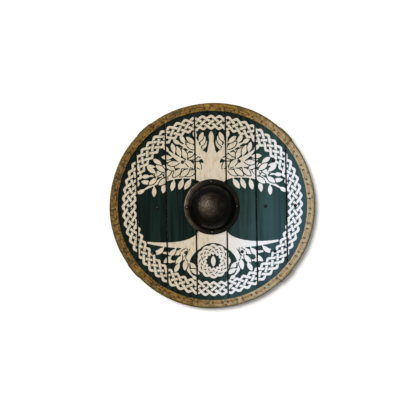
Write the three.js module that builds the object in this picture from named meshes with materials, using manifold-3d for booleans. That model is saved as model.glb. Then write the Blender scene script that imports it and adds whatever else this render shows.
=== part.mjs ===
// A round wooden shield with a domed iron boss, lying on its back with its painted face up.
// Seven butted boards are nailed to two battens and a grip bar behind. A raw leather rim in four
// lapped sections wraps the edge, sewn through with one running lace. Millimetres, +Z up: X runs
// across the boards, Y along them, and the origin is on the surface the shield lies on, under its middle.
import * as THREE from "three";
import { mergeVertices } from "three/addons/utils/BufferGeometryUtils.js";
import Module from "manifold-3d";

// Driving sizes
const SHIELD_DIAMETER = 750; // over the rim, off its laps
const FIT = 0.3; // gap left between pieces that touch

const BOARD_THICKNESS = 10;
const FIRST_SEAM_X = -274; // seam between the first two boards, from the middle
const INNER_BOARD_WIDTHS = [107, 107, 112, 108, 110]; // hand-cut, left to right; the two outer boards take the rest
const SEAM_GAP = 2;
const BOARD_EDGE_CHAMFER = 1;

const RIM_LEATHER = 2.5;
const RIM_BAND = 31; // from the outer edge to the rim's inner edge
const RIM_ROUND = 5; // rounding of the rim's outer front corner
const RIM_BACK_CHAMFER = 2.5;

const STITCHES = 41;
const STITCH_SHARE = 0.6; // of a stitch's pitch that shows on the front
const STITCH_INSET = 20; // from the outer edge to the lace
const LACE_WIDTH = 3.4;
const LACE_THICKNESS = 2;
const LACE_HOLE_PLAY = 0.6;

const FITTINGS_X = -2; // middle of the boss, hand hole and bars, a little off the boards' own middle
const FITTINGS_Y = -5;
const HAND_HOLE_DIAMETER = 134;

const DOME_LEDGE = 15; // board left between the hand hole and the dome's foot
const FLANGE_WIDTH = 20;
const DOME_HEIGHT = 72;
const BOSS_IRON = 2;
const DOME_FOOT_ROUND = 3.5;
const BOSS_RIVET_INSET = 10.5; // from the flange's edge

const BAR_THICKNESS = 18;
const BAR_CHAMFER = 2;
const BATTEN_LENGTH = 500;
const BATTEN_WIDTH = 48;
const BATTEN_SPACING = 330; // from the middle of one batten to the other
const GRIP_BAR_LENGTH = 640;
const GRIP_BAR_WIDTH = 44;
const GRIP_WIDTH = 30;
const GRIP_LENGTH = 104;
const GRIP_SHOULDER = 26; // length over which the bar narrows to the grip

const NAIL_HEAD_DIAMETER = 10.5;
const NAIL_HEAD_HEIGHT = 3;
const NAIL_SHANK = 4; // square
const NAIL_POINT_COVER = 3; // wood left under a nail's point

const RIVET_HEAD_DIAMETER = 11;
const RIVET_HEAD_HEIGHT = 3.5;
const RIVET_SHANK_DIAMETER = 5;
const RIVET_TAIL_DIAMETER = 8;
const RIVET_TAIL_HEIGHT = 1.5;
const WASHER_DIAMETER = 13;
const WASHER_THICKNESS = 1.5;

// Sides of round pieces
const DISC_SIDES = 72;
const RIM_STEP = THREE.MathUtils.degToRad(6);
const BOSS_SIDES = 30;
const HOLE_SIDES = 6;
const HEAD_SIDES = 7;
const WASHER_SIDES = 9;
const HAND_HOLE_SIDES = 30;

// Levels, from the surface that the shield lies on
const boardBack = BAR_THICKNESS + FIT;
const boardFront = boardBack + BOARD_THICKNESS;
const bossFoot = boardFront + FIT;
const flangeTop = bossFoot + BOSS_IRON;
const lapRise = RIM_LEATHER + FIT;
const rimFront = boardFront + lapRise;
const rimBack = boardBack - lapRise;

// Radii
const rimOuter = SHIELD_DIAMETER / 2;
const rimInner = rimOuter - RIM_BAND;
const boardRadius = rimOuter - lapRise;
const laceRadius = rimOuter - STITCH_INSET;
const laceHole = LACE_WIDTH + 2 * LACE_HOLE_PLAY;
const stitchPitch = (2 * Math.PI) / STITCHES;
const lappedStitches = [0.12, 0.366, 0.61, 0.878].map((turn) => Math.round(turn * STITCHES));

const domeDiameter = HAND_HOLE_DIAMETER + 2 * DOME_LEDGE;
const bossDiameter = domeDiameter + 2 * FLANGE_WIDTH;
const bossRivetCircle = bossDiameter - 2 * BOSS_RIVET_INSET;

// Seams between boards, left to right
const seams = INNER_BOARD_WIDTHS.reduce((list, width) => [...list, list.at(-1) + width], [FIRST_SEAM_X]);
const boardEdges = [-rimOuter, ...seams, rimOuter];
const boardNames = ["far_left", "left", "mid_left", "middle", "mid_right", "right", "far_right"];

const COLOURS = {
  paintedBoard: { color: "#22393a", roughness: 0.55, metalness: 0 },
  rimLeather: { color: "#7c683c", roughness: 0.7, metalness: 0 },
  lace: { color: "#8d5a2c", roughness: 0.75, metalness: 0 },
  blackIron: { color: "#211f1b", roughness: 0.45, metalness: 0.9 },
  bareWood: { color: "#8a6a45", roughness: 0.7, metalness: 0 },
};

const wasm = await Module();
wasm.setup();

const shield = new THREE.Group();

function solidFrom(geometry) {
  const bare = new THREE.BufferGeometry();
  const source = geometry.index ? geometry.toNonIndexed() : geometry;
  bare.setAttribute("position", source.getAttribute("position"));
  const merged = mergeVertices(bare, 1e-4);
  return new wasm.Manifold(
    new wasm.Mesh({
      numProp: 3,
      vertProperties: merged.attributes.position.array,
      triVerts: new Uint32Array(merged.index.array),
    }),
  );
}

function geometryFrom(solid) {
  const mesh = solid.getMesh();
  const points = new Float32Array(mesh.numVert * 3);
  for (let i = 0; i < mesh.numVert; i++)
    for (let axis = 0; axis < 3; axis++) points[3 * i + axis] = mesh.vertProperties[mesh.numProp * i + axis];
  const geometry = new THREE.BufferGeometry();
  geometry.setAttribute("position", new THREE.BufferAttribute(points, 3));
  geometry.setIndex(new THREE.BufferAttribute(new Uint32Array(mesh.triVerts), 1));
  geometry.computeVertexNormals();
  return geometry;
}

function addPiece(name, geometry, colour) {
  const piece = new THREE.Mesh(geometry, new THREE.MeshStandardMaterial(COLOURS[colour]));
  piece.name = name;
  shield.add(piece);
}

function joined(solids) {
  return solids.reduce((whole, next) => whole.add(next));
}

function cutFrom(solid, tools) {
  return tools.reduce((rest, tool) => rest.subtract(tool), solid);
}

function box(sizeX, sizeY, low, high, x = 0, y = 0, turn = 0) {
  return new THREE.BoxGeometry(sizeX, sizeY, high - low)
    .rotateZ(turn)
    .translate(x, y, (low + high) / 2);
}

// A cylinder along Z, whose sides' corners lie on the stated diameter
function cylinder(diameter, low, high, x, y, sides) {
  return new THREE.CylinderGeometry(diameter / 2, diameter / 2, high - low, sides)
    .rotateX(Math.PI / 2)
    .translate(x, y, (low + high) / 2);
}

function polar(radius, angle) {
  return [radius * Math.cos(angle), radius * Math.sin(angle)];
}

// Where the nails and rivets go
const battenY = { upper: FITTINGS_Y + BATTEN_SPACING / 2, lower: FITTINGS_Y - BATTEN_SPACING / 2 };
// Each nail is driven near the middle of its board; the shift is how far off it landed.
const nailRows = [
  { name: "upper", y: battenY.upper, boards: [1, 2, 4, 5], shifts: [-3, 7, -6, 11] },
  { name: "grip", y: FITTINGS_Y, boards: [0, 1, 5, 6], shifts: [22, 20, -22, -21] },
  { name: "lower", y: battenY.lower, boards: [1, 2, 4, 5], shifts: [1, 14, -1, 10] },
];
const nails = nailRows.flatMap((row) =>
  row.boards.map((board, i) => ({
    name: `nail_${row.name}_${i + 1}`,
    x: (boardEdges[board] + boardEdges[board + 1]) / 2 + row.shifts[i],
    y: row.y,
  })),
);
// The two rivets beside the grip also go through the grip bar, and end in a pocket under it.
const rivetPocket = RIVET_TAIL_HEIGHT + WASHER_THICKNESS + 2 * FIT;
const rivets = [
  { name: "right", angle: 0, seat: rivetPocket },
  { name: "top", angle: Math.PI / 2, seat: boardBack },
  { name: "left", angle: Math.PI, seat: rivetPocket },
  { name: "bottom", angle: 1.5 * Math.PI, seat: boardBack },
].map((rivet) => {
  const [x, y] = polar(bossRivetCircle / 2, rivet.angle);
  return { ...rivet, x: x + FITTINGS_X, y: y + FITTINGS_Y };
});

const stitchHoleAngles = Array.from({ length: STITCHES }, (_, k) => [
  (k - STITCH_SHARE / 2) * stitchPitch,
  (k + STITCH_SHARE / 2) * stitchPitch,
]);

const laceHoleCuts = stitchHoleAngles.flat().map((angle) =>
  solidFrom(box(laceHole, laceHole, rimBack - 2 * lapRise, rimFront + 2 * lapRise, ...polar(laceRadius, angle), angle)),
);
const nailHoleCuts = nails.map((nail) =>
  solidFrom(box(NAIL_SHANK + 2 * FIT, NAIL_SHANK + 2 * FIT, NAIL_POINT_COVER - FIT, flangeTop, nail.x, nail.y)),
);
const rivetHoleCuts = rivets.map((rivet) =>
  solidFrom(cylinder(RIVET_SHANK_DIAMETER + 2 * FIT, -FIT, flangeTop + FIT, rivet.x, rivet.y, HOLE_SIDES)),
);

// Boards: strips with lightly chamfered front edges, cut to the disc
function makeBoards() {
  const disc = solidFrom(cylinder(2 * boardRadius, boardBack, boardFront, 0, 0, DISC_SIDES));
  const handHole = solidFrom(
    cylinder(HAND_HOLE_DIAMETER, boardBack - FIT, boardFront + FIT, FITTINGS_X, FITTINGS_Y, HAND_HOLE_SIDES),
  );
  boardNames.forEach((name, i) => {
    const left = boardEdges[i] + SEAM_GAP / 2;
    const right = boardEdges[i + 1] - SEAM_GAP / 2;
    const section = new THREE.Shape([
      new THREE.Vector2(left, boardBack - FIT),
      new THREE.Vector2(right, boardBack - FIT),
      new THREE.Vector2(right, boardFront - BOARD_EDGE_CHAMFER),
      new THREE.Vector2(right - BOARD_EDGE_CHAMFER, boardFront),
      new THREE.Vector2(left + BOARD_EDGE_CHAMFER, boardFront),
      new THREE.Vector2(left, boardFront - BOARD_EDGE_CHAMFER),
    ]);
    const strip = new THREE.ExtrudeGeometry(section, { depth: SHIELD_DIAMETER, bevelEnabled: false })
      .rotateX(Math.PI / 2)
      .translate(0, SHIELD_DIAMETER / 2, 0);
    const board = cutFrom(disc.intersect(solidFrom(strip)), [
      handHole,
      ...laceHoleCuts,
      ...nailHoleCuts,
      ...rivetHoleCuts,
    ]);
    // A board narrower than the hand hole is left in two, above and below it.
    const halves = board.decompose().sort((a, b) => b.boundingBox().max[1] - a.boundingBox().max[1]);
    halves.forEach((half, k) => {
      const place = halves.length > 1 ? ["_upper", "_lower"][k] : "";
      addPiece(`board_${name}${place}`, geometryFrom(half), "paintedBoard");
    });
  });
}

// An arc about the shield's middle, in the plane of the boards
class EdgeArc extends THREE.Curve {
  constructor(radius, from, to) {
    super();
    Object.assign(this, { radius, from, to });
  }
  getPoint(t, target = new THREE.Vector3()) {
    const [x, y] = polar(this.radius, this.from + (this.to - this.from) * t);
    return target.set(x, y, 0);
  }
}

// A channel wrapped round the boards' edge: inside it fits over a channel that stands `inside` proud
// of the boards, and outside it stands `outside` proud of them.
function channel(inside, outside, from, to) {
  const steps = Math.max(1, Math.round((to - from) / RIM_STEP));
  const facetSlack = 1 / Math.cos((to - from) / steps / 2);
  const outerR = boardRadius + outside;
  const innerR = (boardRadius + inside) * facetSlack;
  const [top, bottom] = [boardFront + outside, boardBack - outside];
  const soft = RIM_ROUND * (1 - Math.SQRT1_2);
  const points = [
    [rimInner, top],
    [outerR - RIM_ROUND, top],
    [outerR - soft, top - soft],
    [outerR, top - RIM_ROUND],
    [outerR, bottom + RIM_BACK_CHAMFER],
    [outerR - RIM_BACK_CHAMFER, bottom],
    [rimInner, bottom],
    [rimInner, boardBack - inside],
    [innerR, boardBack - inside],
    [innerR, boardFront + inside],
    [rimInner, boardFront + inside],
  ];
  // The path's frame puts a shape's x along -Z and its y towards the middle.
  const section = new THREE.Shape(points.map(([r, z]) => new THREE.Vector2(-z, boardRadius - r)));
  const path = new EdgeArc(boardRadius, from, to);
  return solidFrom(new THREE.ExtrudeGeometry(section, { steps, extrudePath: path, bevelEnabled: false }));
}

// Rim: each section runs from under its neighbour's lap to a step, and there laps over the next one
function makeRim() {
  const names = ["right", "top", "left", "bottom"];
  const lapStarts = lappedStitches.map((k) => (k - 0.5) * stitchPitch);
  const stepTurn = RIM_LEATHER / rimInner;
  const gapTurn = FIT / rimInner;
  names.forEach((name, i) => {
    const underLap = i ? lapStarts[i - 1] : lapStarts.at(-1) - 2 * Math.PI;
    const step = lapStarts[i];
    const section = joined([
      channel(FIT, lapRise, underLap + gapTurn, step - stepTurn / 2),
      channel(FIT, 2 * lapRise, step - stepTurn, step),
      channel(lapRise + FIT, 2 * lapRise, step - stepTurn / 2, step + stitchPitch),
    ]);
    addPiece(`rim_${name}`, geometryFrom(cutFrom(section, laceHoleCuts)), "rimLeather");
  });
}

// Lace: one closed running stitch, over the front, down a hole, along the back and up the next hole
function makeLace() {
  const isLapped = (k) => lappedStitches.includes((k + STITCHES) % STITCHES);
  const lift = FIT + LACE_THICKNESS / 2;
  const halfTurn = LACE_THICKNESS / 2 / laceRadius;
  const points = [];
  const faces = [];
  const addCorner = (angle, side, z) => {
    // Above and before the path, then below and after it, each on the lace's two edges
    for (const across of [-1, 1])
      for (const radius of [laceRadius - LACE_WIDTH / 2, laceRadius + LACE_WIDTH / 2]) {
        const [x, y] = polar(radius, angle - across * side * halfTurn);
        points.push(x, y, z - (across * LACE_THICKNESS) / 2);
      }
  };
  stitchHoleAngles.forEach(([start, end], k) => {
    const front = rimFront + lift + (isLapped(k) ? lapRise : 0);
    const backBefore = rimBack - lift - (isLapped(k) || isLapped(k - 1) ? lapRise : 0);
    const backAfter = rimBack - lift - (isLapped(k) || isLapped(k + 1) ? lapRise : 0);
    addCorner(start, -1, backBefore);
    addCorner(start, -1, front);
    addCorner(end, 1, front);
    addCorner(end, 1, backAfter);
  });
  const corners = points.length / 12;
  const ring = [0, 1, 3, 2];
  for (let c = 0; c < corners; c++)
    ring.forEach((edge, i) => {
      const next = ring[(i + 1) % ring.length];
      const [a, b] = [4 * c + edge, 4 * c + next];
      const [d, e] = [4 * ((c + 1) % corners) + edge, 4 * ((c + 1) % corners) + next];
      faces.push(a, b, e, a, e, d);
    });
  const geometry = new THREE.BufferGeometry();
  geometry.setAttribute("position", new THREE.Float32BufferAttribute(points, 3));
  geometry.setIndex(faces);
  addPiece("rim_lace", geometry, "lace");
}

// Boss: a raised hollow dome on a flat flange
function makeBoss() {
  const domeRadius = domeDiameter / 2;
  const hollowRadius = domeRadius - BOSS_IRON;
  const hollowHeight = DOME_HEIGHT - BOSS_IRON;
  const ellipsePoints = (radius, height, from, to, count) =>
    Array.from({ length: count }, (_, i) => {
      const tilt = THREE.MathUtils.degToRad(from + ((to - from) * i) / (count - 1));
      return [radius * Math.sin(tilt), bossFoot + height * Math.cos(tilt)];
    });
  const soft = DOME_FOOT_ROUND * (1 - Math.SQRT1_2);
  // Tilt from the dome's top at which its foot rounding begins
  const footTilt = THREE.MathUtils.radToDeg(Math.acos((BOSS_IRON + DOME_FOOT_ROUND) / DOME_HEIGHT));
  const profile = [
    [0, bossFoot + hollowHeight],
    ...ellipsePoints(hollowRadius, hollowHeight, 16, 90, 5),
    [bossDiameter / 2, bossFoot],
    [bossDiameter / 2, flangeTop - BOSS_IRON / 4],
    [bossDiameter / 2 - BOSS_IRON / 2, flangeTop],
    [domeRadius + DOME_FOOT_ROUND, flangeTop],
    [domeRadius + soft, flangeTop + soft],
    ...ellipsePoints(domeRadius, DOME_HEIGHT, footTilt, 14, 7),
    [0, bossFoot + DOME_HEIGHT],
  ];
  const lathe = new THREE.LatheGeometry(
    profile.map(([r, z]) => new THREE.Vector2(r, z)),
    BOSS_SIDES,
  )
    .rotateX(Math.PI / 2)
    .translate(FITTINGS_X, FITTINGS_Y, 0);
  addPiece("boss", geometryFrom(cutFrom(solidFrom(lathe), rivetHoleCuts)), "blackIron");
}

// A low domed head whose flat underside is at `foot`
function head(diameter, height, foot, x, y) {
  const radius = diameter / 2;
  const profile = [
    [0, 0],
    [radius, 0],
    [radius * 0.7, height * 0.75],
    [0, height],
  ];
  const lathe = new THREE.LatheGeometry(
    profile.map(([r, z]) => new THREE.Vector2(r, z)),
    HEAD_SIDES,
  );
  return solidFrom(lathe.rotateX(Math.PI / 2).translate(x, y, foot));
}

function makeNails() {
  nails.forEach((nail) => {
    const foot = boardFront + FIT;
    const shank = box(NAIL_SHANK, NAIL_SHANK, NAIL_POINT_COVER, foot + NAIL_HEAD_HEIGHT / 2, nail.x, nail.y);
    const whole = joined([head(NAIL_HEAD_DIAMETER, NAIL_HEAD_HEIGHT, foot, nail.x, nail.y), solidFrom(shank)]);
    addPiece(nail.name, geometryFrom(whole), "blackIron");
  });
}

// Rivets: a domed head on the flange, and a tail hammered flat over a washer behind
function makeRivets() {
  rivets.forEach(({ name, x, y, seat }) => {
    const headFoot = flangeTop + FIT;
    const washerFoot = seat - FIT - WASHER_THICKNESS;
    const tailTop = washerFoot - FIT;
    const whole = joined([
      head(RIVET_HEAD_DIAMETER, RIVET_HEAD_HEIGHT, headFoot, x, y),
      solidFrom(cylinder(RIVET_SHANK_DIAMETER, tailTop - RIVET_TAIL_HEIGHT / 2, headFoot + 1, x, y, HOLE_SIDES)),
      solidFrom(cylinder(RIVET_TAIL_DIAMETER, tailTop - RIVET_TAIL_HEIGHT, tailTop, x, y, HEAD_SIDES)),
    ]);
    addPiece(`boss_rivet_${name}`, geometryFrom(whole), "blackIron");
    const washer = solidFrom(cylinder(WASHER_DIAMETER, washerFoot, seat - FIT, x, y, WASHER_SIDES));
    addPiece(`rivet_washer_${name}`, geometryFrom(cutFrom(washer, rivetHoleCuts)), "blackIron");
  });
}

// Bars: a flat outline with softened edges, standing on the surface
function bar(outline, y) {
  const shape = new THREE.Shape(outline.map(([px, py]) => new THREE.Vector2(px, py)));
  return solidFrom(
    new THREE.ExtrudeGeometry(shape, {
      depth: BAR_THICKNESS - 2 * BAR_CHAMFER,
      bevelThickness: BAR_CHAMFER,
      bevelSize: BAR_CHAMFER,
      bevelOffset: -BAR_CHAMFER,
      bevelSegments: 1,
    }).translate(FITTINGS_X, y, BAR_CHAMFER),
  );
}

function makeBars() {
  const halfLength = BATTEN_LENGTH / 2;
  const halfWidth = BATTEN_WIDTH / 2;
  const clip = BATTEN_WIDTH / 4;
  const battenOutline = [
    [-halfLength + clip, -halfWidth],
    [halfLength - clip, -halfWidth],
    [halfLength, -halfWidth + clip],
    [halfLength, halfWidth - clip],
    [halfLength - clip, halfWidth],
    [-halfLength + clip, halfWidth],
    [-halfLength, halfWidth - clip],
    [-halfLength, -halfWidth + clip],
  ];
  for (const [place, y] of Object.entries(battenY))
    addPiece(`batten_${place}`, geometryFrom(cutFrom(bar(battenOutline, y), nailHoleCuts)), "bareWood");

  // One quarter of the grip bar's outline, from the grip out to the end; the rest mirrors it
  const quarter = [
    [GRIP_LENGTH / 2, GRIP_WIDTH / 2],
    [GRIP_LENGTH / 2 + GRIP_SHOULDER / 2, (GRIP_WIDTH + GRIP_BAR_WIDTH) / 4],
    [GRIP_LENGTH / 2 + GRIP_SHOULDER, GRIP_BAR_WIDTH / 2],
    [GRIP_BAR_LENGTH / 2 - GRIP_BAR_WIDTH / 4, GRIP_BAR_WIDTH / 2],
    [GRIP_BAR_LENGTH / 2, GRIP_BAR_WIDTH / 4],
  ];
  const flip = (points, sx, sy) => points.map(([px, py]) => [sx * px, sy * py]);
  const gripOutline = [
    ...flip(quarter, 1, -1),
    ...flip([...quarter].reverse(), 1, 1),
    ...flip(quarter, -1, 1),
    ...flip([...quarter].reverse(), -1, -1),
  ];
  const pockets = rivets.map((rivet) =>
    solidFrom(cylinder(WASHER_DIAMETER + 4 * FIT, -FIT, rivetPocket, rivet.x, rivet.y, WASHER_SIDES)),
  );
  const gripBar = cutFrom(bar(gripOutline, FITTINGS_Y), [...nailHoleCuts, ...rivetHoleCuts, ...pockets]);
  addPiece("grip_bar", geometryFrom(gripBar), "bareWood");
}

makeBoards();
makeRim();
makeLace();
makeBoss();
makeNails();
makeRivets();
makeBars();

export default shield;
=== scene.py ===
"""Dresses a round wooden shield, lying on its back with its painted face up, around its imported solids.

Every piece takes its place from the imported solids. Sizes are millimetres unless a name says otherwise, and
meshes are turned to metres once, when a piece is finished.
"""

from __future__ import annotations

import logging
import math
import random
from dataclasses import dataclass, field
from enum import Enum
from functools import partial
from typing import Callable

import bmesh
import bpy
import numpy as np
from mathutils import Matrix, Vector, noise

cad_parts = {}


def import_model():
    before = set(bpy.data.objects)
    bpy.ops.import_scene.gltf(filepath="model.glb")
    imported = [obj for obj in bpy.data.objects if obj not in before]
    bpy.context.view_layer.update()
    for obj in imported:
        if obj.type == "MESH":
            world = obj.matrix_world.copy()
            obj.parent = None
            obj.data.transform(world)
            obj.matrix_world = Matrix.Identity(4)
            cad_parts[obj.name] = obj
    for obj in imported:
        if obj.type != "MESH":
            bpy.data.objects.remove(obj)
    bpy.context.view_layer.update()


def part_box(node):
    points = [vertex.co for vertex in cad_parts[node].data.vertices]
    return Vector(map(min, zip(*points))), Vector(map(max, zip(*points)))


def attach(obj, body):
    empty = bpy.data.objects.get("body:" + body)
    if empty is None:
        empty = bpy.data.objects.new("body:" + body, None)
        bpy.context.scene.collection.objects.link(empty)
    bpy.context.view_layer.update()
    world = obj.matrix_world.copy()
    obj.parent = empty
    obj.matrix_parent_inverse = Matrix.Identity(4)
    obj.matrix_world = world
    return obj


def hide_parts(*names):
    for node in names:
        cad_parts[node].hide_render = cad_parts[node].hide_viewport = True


log = logging.getLogger("shield")

Mesh = bmesh.types.BMesh
Socket = bpy.types.NodeSocket
Point = tuple[float, float]
Waves = tuple[tuple[float, float, float], ...]
Marks = Callable[[np.ndarray], dict[str, np.ndarray]]

MM = 0.001
FULL_TURN = 2 * math.pi
BODY = "root"
MIDDLE_BOARD = "board_middle_upper"
SIDES = ("right", "top", "left", "bottom")
NAILS = tuple(f"nail_{row}_{i}" for row in ("upper", "grip", "lower") for i in range(1, 5))
RIVET_HOLE = 5.6
BOSS_IRON = 2.0
CLEARANCE = 0.3
CUT_PAST = 5.0
SAWN_INSET = 0.5
SAWN_EDGE: Waves = ((2.6, 1.1, 3.7), (1.2, 3.4, 8.2))
UP = (0.0, 0.0, 1.0)
ACROSS = (1.0, 0.0, 0.0)
# Towards the light on the right: paint and leather are painted paler along it, as painted light
LIT_SIDE = (1.0, -0.35, 0.0)


class Slot(Enum):
    """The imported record's material slots."""

    BOARDS = "painted_boards"
    RIM = "rim_leather"
    LACE = "lace"
    IRON = "black_iron"
    NAILS = "nails"
    WOOD = "bare_wood"


class Cut(Enum):
    """What a boolean tool does to a piece."""

    AWAY = "DIFFERENCE"
    KEEP = "INTERSECT"


class MixSocket(Enum):
    """Sockets of a colour Mix node, whose names repeat."""

    FACTOR = 0
    FIRST = 6
    SECOND = 7
    RESULT = 2


@dataclass(frozen=True)
class Box:
    """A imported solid's box, in millimetres."""

    low: Vector
    high: Vector

    @property
    def middle(self) -> Vector:
        """The box's centre."""
        return (self.low + self.high) / 2

    @property
    def size(self) -> Vector:
        """The box's extents."""
        return self.high - self.low


def box_of(node: str) -> Box:
    """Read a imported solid's box."""
    low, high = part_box(node)
    return Box(low / MM, high / MM)


def rivet_places(sides: tuple[str, ...] = SIDES) -> list[Vector]:
    """Read the middles of the boss's rivets."""
    return [box_of(f"boss_rivet_{side}").middle for side in sides]


def smooth_between(low: float, high: float, value: float) -> float:
    """Ease from 0 at low to 1 at high."""
    share = min(1.0, max(0.0, (value - low) / (high - low)))
    return share * share * (3 - 2 * share)


def fade(distance: float | np.ndarray, reach: float) -> float | np.ndarray:
    """Fall off smoothly from 1 at no distance, to about a third at the reach."""
    return np.exp(-((distance / reach) ** 2))


def unit(angle: float) -> np.ndarray:
    """Give the direction of an angle in radians."""
    return np.array((math.cos(angle), math.sin(angle)))


def turn_past(start: float, angle: float | np.ndarray) -> float | np.ndarray:
    """Give how far an angle is past a start, from minus to plus half a turn."""
    return (angle - start + math.pi) % FULL_TURN - math.pi


def ripples(angle: float, waves: Waves) -> float:
    """Give a smooth unevenness that closes on itself round the shield.

    Args:
        angle: the place round the shield, in radians.
        waves: each wave's height, its bumps per radian, about, and a number that picks its pattern.

    Returns:
        How far it strays, in millimetres.
    """
    total = 0.0
    for height, bumps, seed in waves:
        total += height * noise.noise(Vector((*(bumps * unit(angle)), seed)))
    return total


def outline_shift(angle: float) -> float:
    """Give how far the hand-sawn edge strays from a true circle, in millimetres."""
    return ripples(angle, SAWN_EDGE) - SAWN_INSET


def bumps(place: Vector, waves: tuple[Point, ...]) -> float:
    """Give random bumps at a place, from the height and size of each wave in them."""
    return sum(height * noise.noise(place / size) for height, size in waves)


def link_object(name: str, data: bpy.types.ID) -> bpy.types.Object:
    """Make an object and put it in the scene.

    Args:
        name: the object's name.
        data: its mesh, light or camera.

    Returns:
        The object.
    """
    made = bpy.data.objects.new(name, data)
    bpy.context.scene.collection.objects.link(made)
    return made


def finish_piece(
    bm: Mesh,
    name: str,
    node: str,
    material: bpy.types.Material,
    marks: Marks | None = None,
    crease: float = 32.0,
) -> None:
    """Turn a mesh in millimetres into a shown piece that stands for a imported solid.

    Args:
        bm: the mesh, in place, which is freed.
        name: the piece's name.
        node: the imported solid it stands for.
        material: its finish.
        marks: from vertex places in millimetres to named numbers kept on the vertices.
        crease: the angle in degrees past which an edge stays sharp.
    """
    mesh = bpy.data.meshes.new(name)
    bm.to_mesh(mesh)
    bm.free()
    if marks is not None:
        places = np.zeros(len(mesh.vertices) * 3, np.float32)
        mesh.vertices.foreach_get("co", places)
        for label, numbers in marks(places.reshape(-1, 3).astype(float)).items():
            layer = mesh.attributes.new(label, "FLOAT", "POINT")
            layer.data.foreach_set("value", numbers.astype(np.float32))
    mesh.transform(Matrix.Scale(MM, 4))
    mesh.shade_smooth()
    mesh.set_sharp_from_angle(angle=math.radians(crease))
    mesh.materials.append(material)
    piece = link_object(name, mesh)
    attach(piece, BODY)
    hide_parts(node)
    log.info("%s: %d faces, stands for %s", name, len(mesh.polygons), node)


def boolean(bm: Mesh, tool: Mesh, cut: Cut) -> Mesh:
    """Cut one closed mesh by another.

    Args:
        bm: the mesh to cut, which is freed.
        tool: the closed cutting mesh, which is kept.
        cut: what the tool does.

    Returns:
        The cut mesh.
    """
    holders = []
    for label, source in (("cut_work", bm), ("cut_tool", tool)):
        mesh = bpy.data.meshes.new(label)
        source.to_mesh(mesh)
        holders.append(link_object(label, mesh))
    bm.free()
    work, knife = holders
    modifier = work.modifiers.new("cut", "BOOLEAN")
    modifier.operation = cut.value
    modifier.solver = "MANIFOLD"
    modifier.object = knife
    bpy.context.view_layer.update()
    made = bmesh.new()
    made.from_object(work, bpy.context.evaluated_depsgraph_get())
    for holder in holders:
        mesh = holder.data
        bpy.data.objects.remove(holder)
        bpy.data.meshes.remove(mesh)
    return made


def lathe(
    profile: list[Point], centre: Vector, steps: int, start: float = 0.0, turn: float = FULL_TURN
) -> Mesh:
    """Spin a profile of radius and height about an upright axis.

    Args:
        profile: points from the axis to the axis, or a ring of points clear of it.
        centre: a point on the axis.
        steps: how many steps the turn has.
        start: the angle at which it starts, in radians.
        turn: how far it turns. Less than a full turn gets flat ends.

    Returns:
        The closed mesh.
    """
    bm = bmesh.new()
    chain = [bm.verts.new((centre.x + radius, centre.y, height)) for radius, height in profile]
    following = chain[1:] if profile[0][0] == 0 else chain[1:] + chain[:1]
    for pair in zip(chain, following):
        bm.edges.new(pair)
    foot = (centre.x, centre.y, 0)
    bmesh.ops.rotate(bm, verts=bm.verts[:], cent=foot, matrix=Matrix.Rotation(start, 3, "Z"))
    whole, joined = bm.verts[:] + bm.edges[:], turn == FULL_TURN
    bmesh.ops.spin(bm, geom=whole, cent=foot, axis=UP, angle=turn, steps=steps, use_merge=joined)
    bmesh.ops.remove_doubles(bm, verts=bm.verts[:], dist=1e-4)
    bmesh.ops.holes_fill(bm, edges=[e for e in bm.edges if e.is_boundary], sides=0)
    bmesh.ops.triangulate(bm, faces=[f for f in bm.faces if len(f.verts) > 4])
    bmesh.ops.recalc_face_normals(bm, faces=bm.faces[:])
    return bm


def add_rod(
    bm: Mesh,
    diameter: float,
    low: float,
    high: float,
    place: Vector,
    sides: int,
    foot: float | None = None,
    turn: float = 0.0,
) -> None:
    """Add an upright closed rod to a mesh.

    Args:
        bm: the mesh it joins.
        diameter: its diameter.
        low: the height of its foot.
        high: the height of its top.
        place: a point on its axis.
        sides: its sides.
        foot: its diameter at the foot, where that differs.
        turn: how far it is turned about its axis, in radians.
    """
    middle = Matrix.Translation((place.x, place.y, (low + high) / 2))
    bmesh.ops.create_cone(
        bm,
        cap_ends=True,
        segments=sides,
        radius1=(diameter if foot is None else foot) / 2,
        radius2=diameter / 2,
        depth=high - low,
        matrix=middle @ Matrix.Rotation(turn, 4, "Z"),
    )


def mark_crown(foot: float, height: float, power: int, places: np.ndarray) -> dict[str, np.ndarray]:
    """Mark how near its top each place on a piece is."""
    return {"crown": np.clip((places[:, 2] - foot) / height, 0, 1) ** power}


def colour(hex_value: str) -> tuple[float, float, float, float]:
    """Turn an sRGB hex colour to a linear one.

    Args:
        hex_value: the colour, such as #ffffff.

    Returns:
        Red, green, blue and alpha.
    """
    channels = [int(hex_value[i : i + 2], 16) / 255 for i in (1, 3, 5)]
    linear = [c / 12.92 if c <= 0.04045 else ((c + 0.055) / 1.055) ** 2.4 for c in channels]
    return (*linear, 1.0)


def add_node(
    tree: bpy.types.NodeTree, kind: str, sockets: dict | None = None, **settings: object
) -> bpy.types.Node:
    """Add a shader node with its settings, values and links.

    Args:
        tree: the material's nodes.
        kind: the node's type without its ShaderNode prefix.
        sockets: from an input's name, index or MixSocket to a value or to the output that feeds it.
        settings: the node's own options.

    Returns:
        The node.
    """
    node = tree.nodes.new(f"ShaderNode{kind}")
    for label, setting in settings.items():
        setattr(node, label, setting)
    for key, value in (sockets or {}).items():
        socket = node.inputs[key.value if isinstance(key, MixSocket) else key]
        if isinstance(value, Socket):
            tree.links.new(value, socket)
        else:
            socket.default_value = value
    return node


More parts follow.
